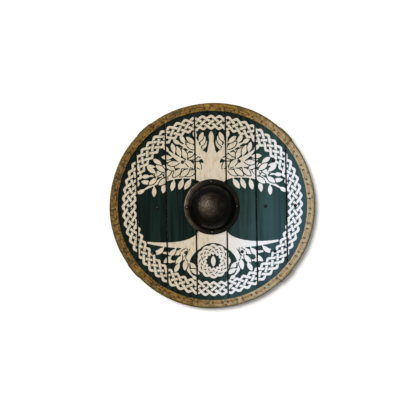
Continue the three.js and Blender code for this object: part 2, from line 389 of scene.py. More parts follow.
@dataclass
class Palette:
    """A material under construction: its patterns, and the base colour that tints are laid over."""

    name: str
    material: bpy.types.Material = field(init=False)
    tree: bpy.types.NodeTree = field(init=False)
    place: Socket = field(init=False)
    base: Socket = field(init=False)

    def __post_init__(self) -> None:
        """Start the material, with places on the object in millimetres."""
        self.material = bpy.data.materials.new(self.name)
        self.material.use_nodes = True
        self.tree = self.material.node_tree
        where = add_node(self.tree, "TexCoord").outputs["Object"]
        scaled = add_node(self.tree, "VectorMath", {0: where, "Scale": 1 / MM}, operation="SCALE")
        self.place = scaled.outputs["Vector"]

    def mottle(
        self,
        size: float | tuple[float, float, float],
        detail: float = 2.0,
        shift: float = 0.0,
        rough: float = 0.5,
    ) -> Socket:
        """Lay a soft random pattern.

        Args:
            size: its spots' size in millimetres, the same each way or along X, Y and Z.
            detail: how many finer layers it holds.
            shift: moves it, so that two patterns of a size differ.
            rough: the finer layers' share.

        Returns:
            The pattern, from 0 to 1.
        """
        sizes = size if isinstance(size, tuple) else (size, size, size)
        sockets = {"Vector": self.place, "Location": (shift,) * 3, "Scale": [1 / s for s in sizes]}
        mapped = add_node(self.tree, "Mapping", sockets).outputs[0]
        sockets = {"Vector": mapped, "Scale": 1.0, "Detail": detail, "Roughness": rough}
        return add_node(self.tree, "TexNoise", sockets).outputs["Fac"]

    def creases(self, size: float) -> Socket:
        """Lay a net of creases.

        Args:
            size: its meshes' size in millimetres.

        Returns:
            The distance to the nearest crease, as a share of that size.
        """
        sockets = {"Vector": self.place, "Scale": 1 / size}
        node = add_node(self.tree, "TexVoronoi", sockets, feature="DISTANCE_TO_EDGE")
        return node.outputs["Distance"]

    def kept(self, label: str) -> Socket:
        """Read numbers kept on the vertices, by their name."""
        return add_node(self.tree, "Attribute", attribute_name=label).outputs["Fac"]

    def ramp(
        self, value: Socket, low: float, high: float, first: float = 0.0, last: float = 1.0
    ) -> Socket:
        """Ease a value that runs from low to high into one that runs from first to last."""
        sockets = {"Value": value, "From Min": low, "From Max": high, "To Min": first, "To Max": last}
        return add_node(self.tree, "MapRange", sockets, interpolation_type="SMOOTHSTEP").outputs[0]

    def math(self, operation: str, *values: Socket | float) -> Socket:
        """Work out one value from others."""
        return add_node(self.tree, "Math", dict(enumerate(values)), operation=operation).outputs[0]

    def times(self, first: Socket | float, second: Socket | float) -> Socket:
        """Multiply two values."""
        return self.math("MULTIPLY", first, second)

    def sum(self, first: Socket | float, second: Socket | float, share: float = 1.0) -> Socket:
        """Add two values, the second times a share."""
        return self.math("ADD", first, self.times(second, share))

    def mixed(self, share: Socket | float, first: Socket | str, second: Socket | str) -> Socket:
        """Mix two colours.

        Args:
            share: how much of the second shows.
            first: a colour's hex value, or the socket that gives it.
            second: the same for the second colour.

        Returns:
            The mixed colour.
        """
        pair = [colour(c) if isinstance(c, str) else c for c in (first, second)]
        sockets = {MixSocket.FACTOR: share, MixSocket.FIRST: pair[0], MixSocket.SECOND: pair[1]}
        return add_node(self.tree, "Mix", sockets, data_type="RGBA").outputs[MixSocket.RESULT.value]

    def over(self, share: Socket | float, tint: Socket | str) -> None:
        """Lay a tint over the base colour."""
        self.base = self.mixed(share, self.base, tint)

    def along(self, direction: tuple[float, float, float]) -> Socket:
        """Give the place along a direction in millimetres."""
        sockets = {0: self.place, 1: direction}
        return add_node(self.tree, "VectorMath", sockets, operation="DOT_PRODUCT").outputs["Value"]

    def reach(self, centre: Vector) -> Socket:
        """Measure from an upright axis.

        Args:
            centre: a point on the axis.

        Returns:
            The distance in millimetres.
        """
        flat = {"Vector": self.place, "Location": (-centre.x, -centre.y, 0.0), "Scale": (1.0, 1.0, 0.0)}
        offset = add_node(self.tree, "Mapping", flat).outputs[0]
        return add_node(self.tree, "VectorMath", {0: offset}, operation="LENGTH").outputs["Value"]

    def pine(self, rings: Socket, fibres: Socket, share: float, tints: tuple[str, str]) -> Socket:
        """Give the colour of pine from its pattern of rings and a share of its fibres."""
        return self.mixed(self.ramp(self.sum(rings, fibres, share), 0.2, 1.2), *tints)

    def coat(self, roughness: Socket, relief: Socket, depth: float, **fixed: float) -> bpy.types.Material:
        """Feed the shader and end the material.

        Args:
            roughness: the roughness.
            relief: the pattern that bumps the surface, from 0 to 1.
            depth: how deep the bumps are.
            fixed: the shader's plain values by socket name, with _ for a space.

        Returns:
            The material.
        """
        sockets = {"Height": relief, "Distance": depth * MM, "Strength": 1.0}
        bump = add_node(self.tree, "Bump", sockets).outputs[0]
        shader = self.tree.nodes["Principled BSDF"]
        for label, value in (("Base Color", self.base), ("Roughness", roughness), ("Normal", bump)):
            self.tree.links.new(value, shader.inputs[label])
        for label, value in fixed.items():
            shader.inputs[label.replace("_", " ")].default_value = value
        return self.material


@dataclass(frozen=True)
class PaintedPine:
    """Thin matt oil paint brushed by hand over planed pine, with the bare wood left behind."""

    front: float
    paint_depth: float = 1.6
    # How far down the seam walls the painted shade reaches
    seam_depth: float = 9.5
    ground: tuple[str, str] = ("#06110e", "#142621")
    ground_worn: str = "#233830"
    # The ground's tints under the painted sheen and glare on the right
    painted_sheen: tuple[str, str] = ("#1e312f", "#2d4341")
    painted_glare: tuple[str, str] = ("#24393f", "#2f4a53")
    cream: str = "#bfb5a1"
    cream_worn: str = "#96886f"
    # The cream under the painted sheen on the right
    cream_in_sheen: str = "#d3d7df"
    # Near black for the painted shade in the seams and the painted shadow round the nails
    edge: str = "#0a0d0c"
    wood: tuple[str, str] = ("#ac895b", "#886440")

    def material(self) -> bpy.types.Material:
        """Make the finish: streaks run along the grain, the cream edges wander like a brush's, and light and
        shade are painted in.

        Returns:
            The material.
        """
        p = Palette("oil_painted_pine")
        grain = p.mottle((2.4, 95.0, 2.4), detail=4.0, rough=0.6)
        streaks = p.mottle((11.0, 280.0, 11.0), detail=4.0, shift=11.0)
        blotches = p.mottle(34.0, detail=3.0, shift=5.0)
        stains = p.mottle((13.0, 30.0, 13.0), detail=3.0, shift=21.0, rough=0.6)

        # Painted light: the ground is painted darker on the left as painted shade, and paler and bluer
        # towards the right as painted sheen and glare from a light on that side
        lit_from_right = p.sum(p.sum(p.along(LIT_SIDE), blotches, 90.0), -45.0)
        painted_sheen = p.ramp(lit_from_right, -20.0, 220.0)
        streaked = p.ramp(streaks, 0.3, 0.65)
        p.base = p.mixed(p.ramp(streaks, 0.35, 0.68), *self.ground)
        p.over(p.ramp(lit_from_right, -320.0, -110.0, 0.75, 0.0), self.ground[0])
        p.over(painted_sheen, p.mixed(streaked, *self.painted_sheen))
        p.over(p.ramp(lit_from_right, 100.0, 330.0), p.mixed(streaked, *self.painted_glare))
        p.over(p.ramp(grain, 0.56, 0.8, 0.0, 0.55), self.ground_worn)

        # The picture's edges stray by a brush's wander, and its cream is thin along the grain
        wear = p.sum(p.ramp(stains, 0.42, 0.72, 0.0, 0.6), p.ramp(grain, 0.5, 0.8), 0.4)
        cream = p.mixed(p.times(wear, 0.8), self.cream, self.cream_worn)
        # Painted sheen: the cream is painted paler and bluer towards the right
        cream = p.mixed(p.times(painted_sheen, 0.95), cream, self.cream_in_sheen)
        wander = p.sum(p.mottle(6.0, shift=2.0), -0.5)
        picture = p.ramp(p.sum(p.kept("paint"), wander, 2.4), -0.5, 0.5)
        p.over(p.times(picture, p.sum(1.0, p.ramp(grain, 0.6, 0.85), -0.3)), cream)
        # Painted near black along each plank's long edges, partly dark joint paint and partly painted shade
        # in the seams, with a painted shadow round each nail head
        p.over(p.ramp(p.kept("edge"), 1.0, 3.0, 1.0, 0.0), self.edge)

        # Bare wood behind the painted front, and the walls of the seams and nail holes painted near black as
        # painted shade in the gaps
        height = p.along(UP)
        rings = p.ramp(p.mottle((7.0, 260.0, 7.0), detail=3.0, shift=4.0), 0.3, 0.7)
        bare = p.pine(rings, p.mottle((1.2, 60.0, 1.2)), 0.6, self.wood)
        painted_to = self.front - self.paint_depth
        p.over(p.ramp(height, painted_to - 0.6, painted_to, 1.0, 0.0), bare)
        run_to = self.front - self.seam_depth
        run = p.ramp(height, run_to - 0.4, run_to)
        p.over(p.times(p.ramp(p.kept("edge"), 0.05, 0.45, 1.0, 0.0), run), self.edge)
        roughness = p.sum(p.ramp(grain, 0.3, 0.7, 0.4, 0.52), picture, 0.1)
        return p.coat(roughness, p.sum(grain, picture, 0.5), 0.25, Specular_IOR_Level=0.03)


@dataclass(frozen=True)
class RawLeather:
    """Thick raw leather, stained and waxed by hand, so it is blotched and creased."""

    outer: float
    gold: str = "#997428"
    olive: str = "#544518"
    red: str = "#6b4316"
    dark: str = "#23190a"
    pale: str = "#a8925a"
    painted_light_tint: str = "#b3a98f"

    def material(self) -> bpy.types.Material:
        """Make the finish: cloudy dye and fine creases, with light and shade painted in.

        Returns:
            The material.
        """
        p = Palette("waxed_raw_leather")
        clouds = p.mottle(30.0, detail=4.0, rough=0.6)
        burnt = p.mottle(17.0, detail=4.0, shift=31.0, rough=0.6)
        spots = p.mottle(8.0, detail=3.0, shift=7.0)
        pores = p.mottle(1.6, shift=3.0)
        p.base = p.mixed(p.ramp(clouds, 0.38, 0.6), self.olive, self.gold)
        p.over(p.ramp(burnt, 0.5, 0.68, 0.0, 0.7), self.red)
        # Painted light: paler and cooler towards the right
        p.over(p.ramp(p.sum(p.along(LIT_SIDE), clouds, 260.0), 95.0, 440.0, 0.0, 0.8), self.painted_light_tint)
        # Painted shade: darker towards the left
        p.over(p.ramp(p.sum(p.along(ACROSS), spots, 90.0), -300.0, 300.0, 0.54, 0.0), self.dark)
        p.over(p.ramp(spots, 0.52, 0.7, 0.0, 0.55), self.pale)
        p.over(p.ramp(spots, 0.48, 0.32, 0.0, 0.75), self.dark)
        p.over(p.times(p.kept("lap"), 0.18), self.gold)
        far = p.reach(Vector())
        # Painted shade towards the rounded outer edge, olive and then near black
        p.over(p.ramp(p.sum(far, burnt, 16.0), self.outer - 6, self.outer + 5, 0.0, 0.6), self.olive)
        p.over(p.ramp(far, self.outer - 7, self.outer - 1, 0.0, 0.7), self.dark)
        # Painted shade in the grooves under each stitch, in the holes, along the inner cut edge and past
        # each lap's end
        p.over(p.kept("groove"), self.dark)
        uneven = p.sum(p.times(spots, 1.4), pores, 0.4)
        relief = p.sum(uneven, p.ramp(p.creases(3.2), 0.0, 0.16), 0.35)
        return p.coat(p.ramp(pores, 0.3, 0.7, 0.5, 0.68), relief, 0.8, Specular_IOR_Level=0.15)


@dataclass(frozen=True)
class WaxedThong:
    """Narrow tan leather thong, waxed so that it slips through its holes."""

    tan: str = "#69431b"
    shade: str = "#39210c"
    glint: str = "#a5783b"
    painted_light_tint: str = "#b09569"
    # Near black for the painted shade where the thong sinks
    deep: str = "#1a0f06"

    def material(self) -> bpy.types.Material:
        """Make the finish: tan, with painted highlights, painted light on the right and painted shade.

        Returns:
            The material.
        """
        p = Palette("waxed_tan_thong")
        fibres = p.mottle(2.0, detail=3.0)
        crown = p.kept("crown")
        p.base = p.mixed(p.ramp(fibres, 0.35, 0.7), self.tan, self.shade)
        # Painted highlight on top of each stitch
        p.over(p.times(crown, 0.55), self.glint)
        # Painted light: paler towards the right
        p.over(p.ramp(p.along(ACROSS), 40.0, 380.0, 0.0, 0.85), self.painted_light_tint)
        # Painted shade on the thong's low sides and where it dives into its holes
        p.over(p.ramp(crown, 0.0, 0.45, 0.9, 0.0), self.deep)
        return p.coat(p.ramp(fibres, 0.3, 0.7, 0.45, 0.6), fibres, 0.3, Specular_IOR_Level=0.2)


@dataclass(frozen=True)
class OiledIron:
    """Spun mild steel, blackened with oil over the fire, with painted highlights and painted shade."""

    centre: Vector
    rivets: list[Vector]
    painted_shade_black: str = "#040403"
    black: str = "#12100d"
    brown: str = "#28221a"
    painted_highlight: str = "#62584a"
    # Spinning marks, coarser than a real tool's so that they show
    mark_spacing: float = 5.5
    # Radius and offset of the painted highlight on the crown, and where the painted shade on the steep wall
    # starts, fades in and stops
    crown: float = 44.0
    highlight_offset: Vector = Vector((-11, -5, 0))
    wall_top: float = 49.0
    wall_fade: float = 14.0
    wall_foot: float = 85.0

    def material(self) -> bpy.types.Material:
        """Make the finish: near black with spinning rings, and a painted highlight and painted shade.

        Returns:
            The material.
        """
        p = Palette("oil_blackened_steel")
        clouds = p.mottle(26.0, detail=4.0, rough=0.6)
        specks = p.mottle(3.0, detail=3.0, shift=9.0)
        far = p.reach(self.centre)
        bent = p.sum(far, clouds, 7.0)
        marks = p.math("SINE", p.times(bent, FULL_TURN / self.mark_spacing))
        p.base = p.mixed(p.ramp(clouds, 0.4, 0.7), self.black, self.brown)
        # Painted highlight on the crown, left of the middle
        near_highlight = p.ramp(p.reach(self.centre + self.highlight_offset), self.crown * 0.2, self.crown, 1.0, 0.0)
        crown = p.times(near_highlight, p.ramp(specks, 0.2, 0.6))
        p.over(p.times(crown, p.ramp(marks, -1.0, 1.0, 0.2, 0.7)), self.painted_highlight)
        # Painted shade: the steep wall near black, standing in for its dark reflection
        wall = p.ramp(bent, self.wall_top, self.wall_top + self.wall_fade)
        p.over(p.times(wall, p.ramp(far, self.wall_foot, self.wall_foot + 5, 0.96, 0.0)), self.painted_shade_black)
        flange = p.ramp(far, self.wall_foot + 2, self.wall_foot + 8)
        across = p.along(ACROSS)
        # Painted shade on the right of the flange
        p.over(p.times(flange, p.ramp(across, -70.0, 10.0, 0.0, 0.5)), self.painted_shade_black)
        # Painted light on the left of the flange
        handled_and_lit = p.ramp(p.sum(across, clouds, 70.0), -95.0, 15.0, 0.8, 0.03)
        p.over(p.times(flange, p.times(handled_and_lit, p.ramp(clouds, 0.25, 0.6))), self.painted_highlight)
        # Painted shadow round each rivet head
        for rivet in self.rivets:
            p.over(p.ramp(p.reach(rivet), 6.5, 8.5, 0.9, 0.0), self.painted_shade_black)
        relief = p.sum(p.sum(clouds, specks, 0.3), marks, 0.16)
        return p.coat(p.ramp(specks, 0.3, 0.7, 0.34, 0.5), relief, 0.7, Metallic=0.9)


@dataclass(frozen=True)
class ForgedIron:
    """Hand forged iron, scaled black in the fire, with a painted highlight on the top of each head."""

    name: str = "forged_black_iron"
    scale: str = "#0a0908"
    highlight_tint: str = "#2c2925"

    def material(self) -> bpy.types.Material:
        """Make the finish: black scale, with a painted highlight towards each head's crown.

        Returns:
            The material.
        """
        p = Palette(self.name)
        specks = p.mottle(2.2, detail=3.0)
        # Painted highlight: lighter towards the top of each head
        painted_top_highlight = p.sum(p.times(p.kept("crown"), 0.9), specks, 0.15)
        p.base = p.mixed(painted_top_highlight, self.scale, self.highlight_tint)
        return p.coat(p.ramp(specks, 0.3, 0.7, 0.3, 0.5), specks, 0.4, Metallic=0.9)


@dataclass(frozen=True)
class OiledPine:
    """Planed pine bars, oiled with linseed and darkened by hands. Their grain runs along X."""

    tints: tuple[str, str] = ("#b48a55", "#7a5328")
    handled_and_lit: str = "#5c3d1f"

    def material(self) -> bpy.types.Material:
        """Make the finish: straight grain, with darker handling marks in clouds.

        Returns:
            The material.
        """
        p = Palette("oiled_pine")
        rings = p.ramp(p.mottle((240.0, 5.0, 5.0), detail=3.0), 0.35, 0.65)
        fibres = p.mottle((55.0, 1.1, 1.1), shift=6.0)
        p.base = p.pine(rings, fibres, 0.5, self.tints)
        p.over(p.ramp(p.mottle(60.0, detail=3.0), 0.5, 0.75, 0.0, 0.6), self.handled_and_lit)
        return p.coat(p.ramp(fibres, 0.3, 0.7, 0.5, 0.65), fibres, 0.3)


@dataclass(frozen=True)
class Stroke:
    """A brush stroke along a cubic curve, whose half width follows its own cubic."""

    route: tuple[Point, Point, Point, Point]
    half_widths: tuple[float, float, float, float]

    def at(self, share: float) -> tuple[np.ndarray, float]:
        """Give the stroke's middle and half width.

        Args:
            share: how far along it, from 0 to 1.

        Returns:
            The point and the half width there.
        """
        rest = 1 - share
        weights = (rest**3, 3 * rest * rest * share, 3 * rest * share * share, share**3)
        point = sum(w * np.array(p) for w, p in zip(weights, self.route))
        return point, sum(w * h for w, h in zip(weights, self.half_widths))

    def heading(self, share: float, step: float = 0.01) -> float:
        """Give the direction of travel there, in radians."""
        ahead = self.at(min(1.0, share + step))[0] - self.at(max(0.0, share - step))[0]
        return math.atan2(ahead[1], ahead[0])


@dataclass(frozen=True)
class Plait:
    """A closed plait of round-cornered strands, each over and under the next in turn."""

    centre: Point
    radius: float
    swing: float
    half_width: float
    waves: int
    gap: float = 2.8
    strands: int = 4
    corner: float = 0.985


@dataclass(frozen=True)
class LeafRow:
    """Leaves along one side of a limb: 1 is on the left of its travel, -1 on its right."""

    shares: tuple[float, ...]
    side: int
    spread: float


class Picture:
    """Signed distances, in millimetres, to the edge of the cream paint: positive inside it."""

    FAR = -60.0
    MARGIN = 12.0

    def __init__(self, x: np.ndarray, y: np.ndarray) -> None:
        """Start with no paint. A tree is drawn once, on the right half, and mirrored.

        Args:
            x: the points' places across the shield.
            y: their places along the boards.
        """
        self.x = x
        self.y = y
        self.half = np.abs(x)
        self.distance = np.full(len(x), self.FAR)

    def lay(self, near: np.ndarray, shape: np.ndarray, gap: float = 0.0, fillet: float = 0.0) -> None:
        """Add a shape, and clear a dark line round it where it crosses what is there.

        Args:
            near: the points that the shape can reach, as a mask.
            shape: the signed distances to its edge at those points.
            gap: the dark line's width.
            fillet: how far the paint fills the corner between the two, in place of a gap.
        """
        there = self.distance[near]
        if gap:
            there = np.minimum(there, -shape - gap)
        joined = np.maximum(there, shape)
        if fillet:
            joined += np.maximum(fillet - np.abs(there - shape), 0) ** 2 / (4 * fillet)
        self.distance[near] = joined

    def window(self, low: np.ndarray, high: np.ndarray, margin: float) -> np.ndarray:
        """Mask the points in a box of the mirrored half, with a margin."""
        across = (self.half > low[0] - margin) & (self.half < high[0] + margin)
        return across & (self.y > low[1] - margin) & (self.y < high[1] + margin)

    def stroke(self, stroke: Stroke, gap: float = 0.0, parts: int = 18, fillet: float = 0.0) -> None:
        """Paint a brush stroke.

        Args:
            stroke: the stroke.
            gap: the dark line's width where it crosses what is there.
            parts: the straight parts that stand for its curve.
            fillet: how far the paint fills its corners with what is there.
        """
        points, widths = map(np.array, zip(*(stroke.at(i / parts) for i in range(parts + 1))))
        near = self.window(points.min(0), points.max(0), widths.max() + self.MARGIN + 2 * fillet)
        x, y = self.half[near], self.y[near]
        shape = np.full(len(x), self.FAR)
        for i in range(parts):
            (ax, ay), (dx, dy) = points[i], points[i + 1] - points[i]
            share = np.clip(((x - ax) * dx + (y - ay) * dy) / (dx * dx + dy * dy), 0, 1)
            width = widths[i] + (widths[i + 1] - widths[i]) * share
            shape = np.maximum(shape, width - np.hypot(x - ax - share * dx, y - ay - share * dy))
        self.lay(near, shape, gap, fillet)

    def leaf(self, foot: Point, heading: float, length: float, width: float, gap: float = 0.0) -> None:
        """Paint a pointed leaf.

        Args:
            foot: where its stem end is.
            heading: where it points, in radians.
            length: from its stem end to its tip.
            width: across its middle.
            gap: the dark line round it.
        """
        along = unit(heading)
        reach = length / 2
        middle = np.array(foot) + along * reach
        near = self.window(middle - reach, middle + reach, self.MARGIN)
        x, y = self.half[near] - middle[0], self.y[near] - middle[1]
        radius = (length**2 + width**2) / (4 * width)
        beside = np.abs(y * along[0] - x * along[1]) + radius - width / 2
        self.lay(near, radius - np.hypot(x * along[0] + y * along[1], beside), gap)

    def wreath(self, plait: Plait, gap: float = 0.0) -> None:
        """Paint a closed plait.

        Args:
            plait: the plait.
            gap: the dark line round the whole of it.
        """
        dx, dy = self.x - plait.centre[0], self.y - plait.centre[1]
        out = np.hypot(dx, dy) - plait.radius
        near = np.abs(out) < plait.swing + plait.half_width + self.MARGIN
        out, turn = out[near], np.arctan2(dy[near], dx[near])
        squared = math.asin(plait.corner)
        rising, falling = (np.full(len(out), self.FAR) for _ in range(2))
        for k in range(plait.strands):
            phase = plait.waves * turn + k * FULL_TURN / plait.strands
            bent = plait.corner * np.sin(phase)
            slope = plait.corner * np.cos(phase) / np.sqrt(1 - bent**2) / squared
            slope *= plait.swing * plait.waves / plait.radius
            away = np.abs(out - plait.swing * np.arcsin(bent) / squared) / np.sqrt(1 + slope**2)
            up = np.cos(phase) > 0
            rising = np.where(up, np.maximum(rising, plait.half_width - away), rising)
            falling = np.where(up, falling, np.maximum(falling, plait.half_width - away))
        height = out / plait.swing
        row = np.round((1 - height) * plait.strands / 2)
        rising_over = np.maximum(rising, np.minimum(falling, -rising - plait.gap))
        falling_over = np.maximum(falling, np.minimum(rising, -falling - plait.gap))
        crossed = np.where(row % 2 == 1, rising_over, falling_over)
        turning = np.abs(height) > 1 - 1 / plait.strands
        self.lay(near, np.where(turning, np.maximum(rising, falling), crossed), gap)


@dataclass(frozen=True)
class TreePainting:
    """A round of plait about a mirrored tree with leaves, roots and a small wreath, laid out by rule."""

    ring: Plait = Plait((0, 0), radius=303.0, swing=22.5, half_width=4.5, waves=16)
    small_wreath: Plait = Plait((0, -203), radius=43.0, swing=15.0, half_width=4.6, waves=3)
    crown_radius: float = 277.0
    trunk: tuple[Stroke, ...] = (
        Stroke(((0, 60), (0, 120), (0, 170), (0, 236)), (46, 31, 17, 5)),
        Stroke(((0, -60), (0, -100), (0, -120), (0, -142)), (46, 50, 56, 50)),
    )
    boughs: tuple[Stroke, ...] = (
        Stroke(((10, 92), (64, 136), (150, 120), (246, 62)), (23, 18, 12, 2.5)),
        Stroke(((8, 104), (34, 176), (124, 140), (208, 144)), (18, 15, 11, 2.5)),
        Stroke(((6, 134), (16, 200), (64, 198), (114, 226)), (16, 13, 10, 2.5)),
    )
    roots: tuple[Stroke, ...] = (
        Stroke(((20, -100), (60, -140), (120, -152), (236, -132)), (24, 17, 11, 3.5)),
        Stroke(((40, -128), (92, -160), (124, -182), (186, -168)), (18, 12, 9, 2.5)),
        Stroke(((50, -136), (98, -166), (112, -206), (146, -202)), (14, 10, 8, 2.5)),
        Stroke(((46, -140), (98, -170), (108, -226), (78, -254)), (13, 9, 7, 2.5)),
    )
    fork_angles: tuple[float, ...] = (26.0, 52.0, 77.0)
    fork_share: float = 0.42
    fork_reach: float = 252.0
    fork_bends: tuple[Point, ...] = ((0, 0), (0.3, 0.12), (0.75, 0.55), (1, 1))
    lowest_bough_leaves: tuple[LeafRow, ...] = (
        LeafRow((0.34, 0.48, 0.62, 0.76, 0.89), -1, 1.05),
        LeafRow((0.2, 0.3, 0.74, 0.9), 1, 0.6),
    )
    bough_leaves: tuple[LeafRow, ...] = (
        LeafRow((0.34, 0.48, 0.62, 0.76, 0.89), -1, 0.7),
        LeafRow((0.74, 0.9), 1, 0.6),
    )
    fork_leaves: tuple[LeafRow, ...] = (
        LeafRow((0.3, 0.55, 0.8), 1, 0.65),
        LeafRow((0.5, 0.78), -1, 0.6),
    )
    widest_root_leaves: tuple[LeafRow, ...] = (LeafRow((0.5, 0.66, 0.82), -1, 0.8),)
    root_leaves: tuple[LeafRow, ...] = (LeafRow((0.56, 0.8), -1, 0.7),)
    leaf_length: float = 42.0
    leaf_width: float = 18.0
    leaf_gap: float = 3.5
    stem_length: float = 4.0
    stem_into_leaf: float = 6.0
    stem_half_width: float = 2.0
    top_leaf_y: float = 229.0
    held_leaf: Point = (40.0, 17.0)
    held_leaf_drop: float = 20.0
    bare_margin: float = 4.0
    fillet: float = 9.0
    root_gap: float = 2.5

    def forks(self) -> list[Stroke]:
        """Give the side branch that climbs from each bough.

        Returns:
            Their strokes, from the lowest up.
        """
        forks = []
        for bough, degrees in zip(self.boughs, self.fork_angles):
            foot, width = bough.at(self.fork_share)
            climb = self.fork_reach * unit(math.radians(degrees)) - foot
            route = tuple(foot + climb * bend for bend in self.fork_bends)
            forks.append(Stroke(route, (0.8 * width, 10, 8, 2.5)))
        return forks

    def leaves_along(self, picture: Picture, limb: Stroke, rows: tuple[LeafRow, ...]) -> None:
        """Hang leaves on short stems along a limb, smaller towards its end.

        Args:
            picture: what they are painted on.
            limb: the limb.
            rows: where the leaves are, and how far they spread.
        """
        for row, share in ((row, share) for row in rows for share in row.shares):
            point, width = limb.at(share)
            across = row.side * unit(limb.heading(share) + FULL_TURN / 4)
            foot = point + across * (width + self.stem_length)
            heading = limb.heading(share) + row.side * row.spread
            size = 1.1 - 0.25 * share
            length, breadth = self.leaf_length * size, self.leaf_width * size
            picture.leaf(foot, heading, length, breadth, self.leaf_gap)
            into_leaf = foot + unit(heading) * self.stem_into_leaf
            stem = (point, point + across * width * 0.8, foot, into_leaf)
            picture.stroke(Stroke(stem, (self.stem_half_width,) * 4), parts=5)

    def end_leaf(self, picture: Picture, limb: Stroke, length: float, width: float) -> None:
        """Paint the leaf that ends a limb, as shares of a full leaf's length and width."""
        size = (self.leaf_length * length, self.leaf_width * width)
        picture.leaf(limb.at(1.0)[0], limb.heading(1.0), *size)

    def paint_crown(self, picture: Picture) -> None:
        """Paint the trunk, boughs, forks and leaves.

        Args:
            picture: what they are painted on.
        """
        forks = self.forks()
        for limb in (*self.trunk, *self.boughs, *forks):
            picture.stroke(limb, fillet=self.fillet)
        lowest, *others = self.boughs
        self.leaves_along(picture, lowest, self.lowest_bough_leaves)
        for bough in others:
            self.leaves_along(picture, bough, self.bough_leaves)
        for fork in forks:
            self.leaves_along(picture, fork, self.fork_leaves)
        picture.leaf((0, self.top_leaf_y), FULL_TURN / 4, self.leaf_length, self.leaf_width)
        for limb in (*self.boughs, *forks):
            self.end_leaf(picture, limb, 0.7, 0.8)

    def paint_roots(self, picture: Picture) -> None:
        """Paint the roots, their leaves, and the small wreath that they hold round one leaf.

        Args:
            picture: what they are painted on.
        """
        widest, *others = self.roots
        for root in others:
            picture.stroke(root, gap=self.root_gap)
        for limb in (*self.trunk, widest):
            picture.stroke(limb, fillet=self.fillet)
        self.leaves_along(picture, widest, self.widest_root_leaves)
        for root in others:
            self.leaves_along(picture, root, self.root_leaves)
            self.end_leaf(picture, root, 0.6, 0.7)
        held = self.small_wreath
        away = np.hypot(picture.x - held.centre[0], picture.y - held.centre[1])
        bare_radius = held.radius + held.swing + held.half_width + self.bare_margin
        picture.distance = np.minimum(picture.distance, away - bare_radius)
        picture.wreath(held, gap=held.gap)
        picture.leaf((0, held.centre[1] - self.held_leaf_drop), FULL_TURN / 4, *self.held_leaf)

    def distances(self, x: np.ndarray, y: np.ndarray) -> np.ndarray:
        """Give the signed distance to the painted edge.

        Args:
            x: places across the shield.
            y: places along the boards.

        Returns:
            Millimetres inside the cream paint, negative outside it.
        """
        picture = Picture(x, y)
        self.paint_crown(picture)
        self.paint_roots(picture)
        picture.distance = np.minimum(picture.distance, self.crown_radius - np.hypot(x, y))
        picture.wreath(self.ring)
        return picture.distance


@dataclass
class Fixings:
    """Where the lace's holes are, each a little off its true place, as an awl leaves it."""

    stitches: int = 41
    stitch_share: float = 0.6
    lace_radius: float = 355.0
    hole_diameter: float = 4.4
    jitter_along: float = 1.4
    jitter_across: float = 0.9
    seed: int = 12

    def __post_init__(self) -> None:
        """Place the holes, two to a stitch, counted round from the first stitch's start."""
        draw = random.Random(self.seed)
        self.hole_angles = []
        for k in range(self.stitches):
            for side in (-1, 1):
                off = draw.uniform(-1, 1) * self.jitter_along / self.lace_radius
                self.hole_angles.append((k + side * self.stitch_share / 2) * self.pitch + off)
        self.hole_radii = [
            self.lace_radius + draw.uniform(-1, 1) * self.jitter_across for _ in self.hole_angles
        ]

    @property
    def pitch(self) -> float:
        """The angle from stitch to stitch, in radians."""
        return FULL_TURN / self.stitches

    def hole(self, index: int) -> Vector:
        """Give a hole's place."""
        index %= len(self.hole_angles)
        return Vector((*(self.hole_radii[index] * unit(self.hole_angles[index])), 0))

    def lace_holes(self, low: float, high: float) -> Mesh:
        """Make the rods that bore every hole.

        Args:
            low: the height of their feet.
            high: the height of their tops.

        Returns:
            The cutting mesh.
        """
        tool = bmesh.new()
        for index in range(len(self.hole_angles)):
            add_rod(tool, self.hole_diameter, low, high, self.hole(index), 10)
        return tool

    def from_stitch(self, places: np.ndarray) -> tuple[np.ndarray, np.ndarray, np.ndarray]:
        """Measure from places on the rim to the stitch that is nearest round the shield.

        Args:
            places: the places, a row each.

        Returns:
            The distances to the stitch, to its first hole and to its last.
        """
        stitch = np.round(np.arctan2(places[:, 1], places[:, 0]) / self.pitch).astype(int) % self.stitches
        holes = np.array([self.hole(i)[:2] for i in range(2 * self.stitches)])
        first, last = holes[2 * stitch], holes[2 * stitch + 1]
        along, offset = last - first, places[:, :2] - first
        share = np.clip((offset * along).sum(1) / (along**2).sum(1), 0, 1)
        return tuple(np.hypot(*(offset - along * s).T) for s in (share[:, None], 0, 1))


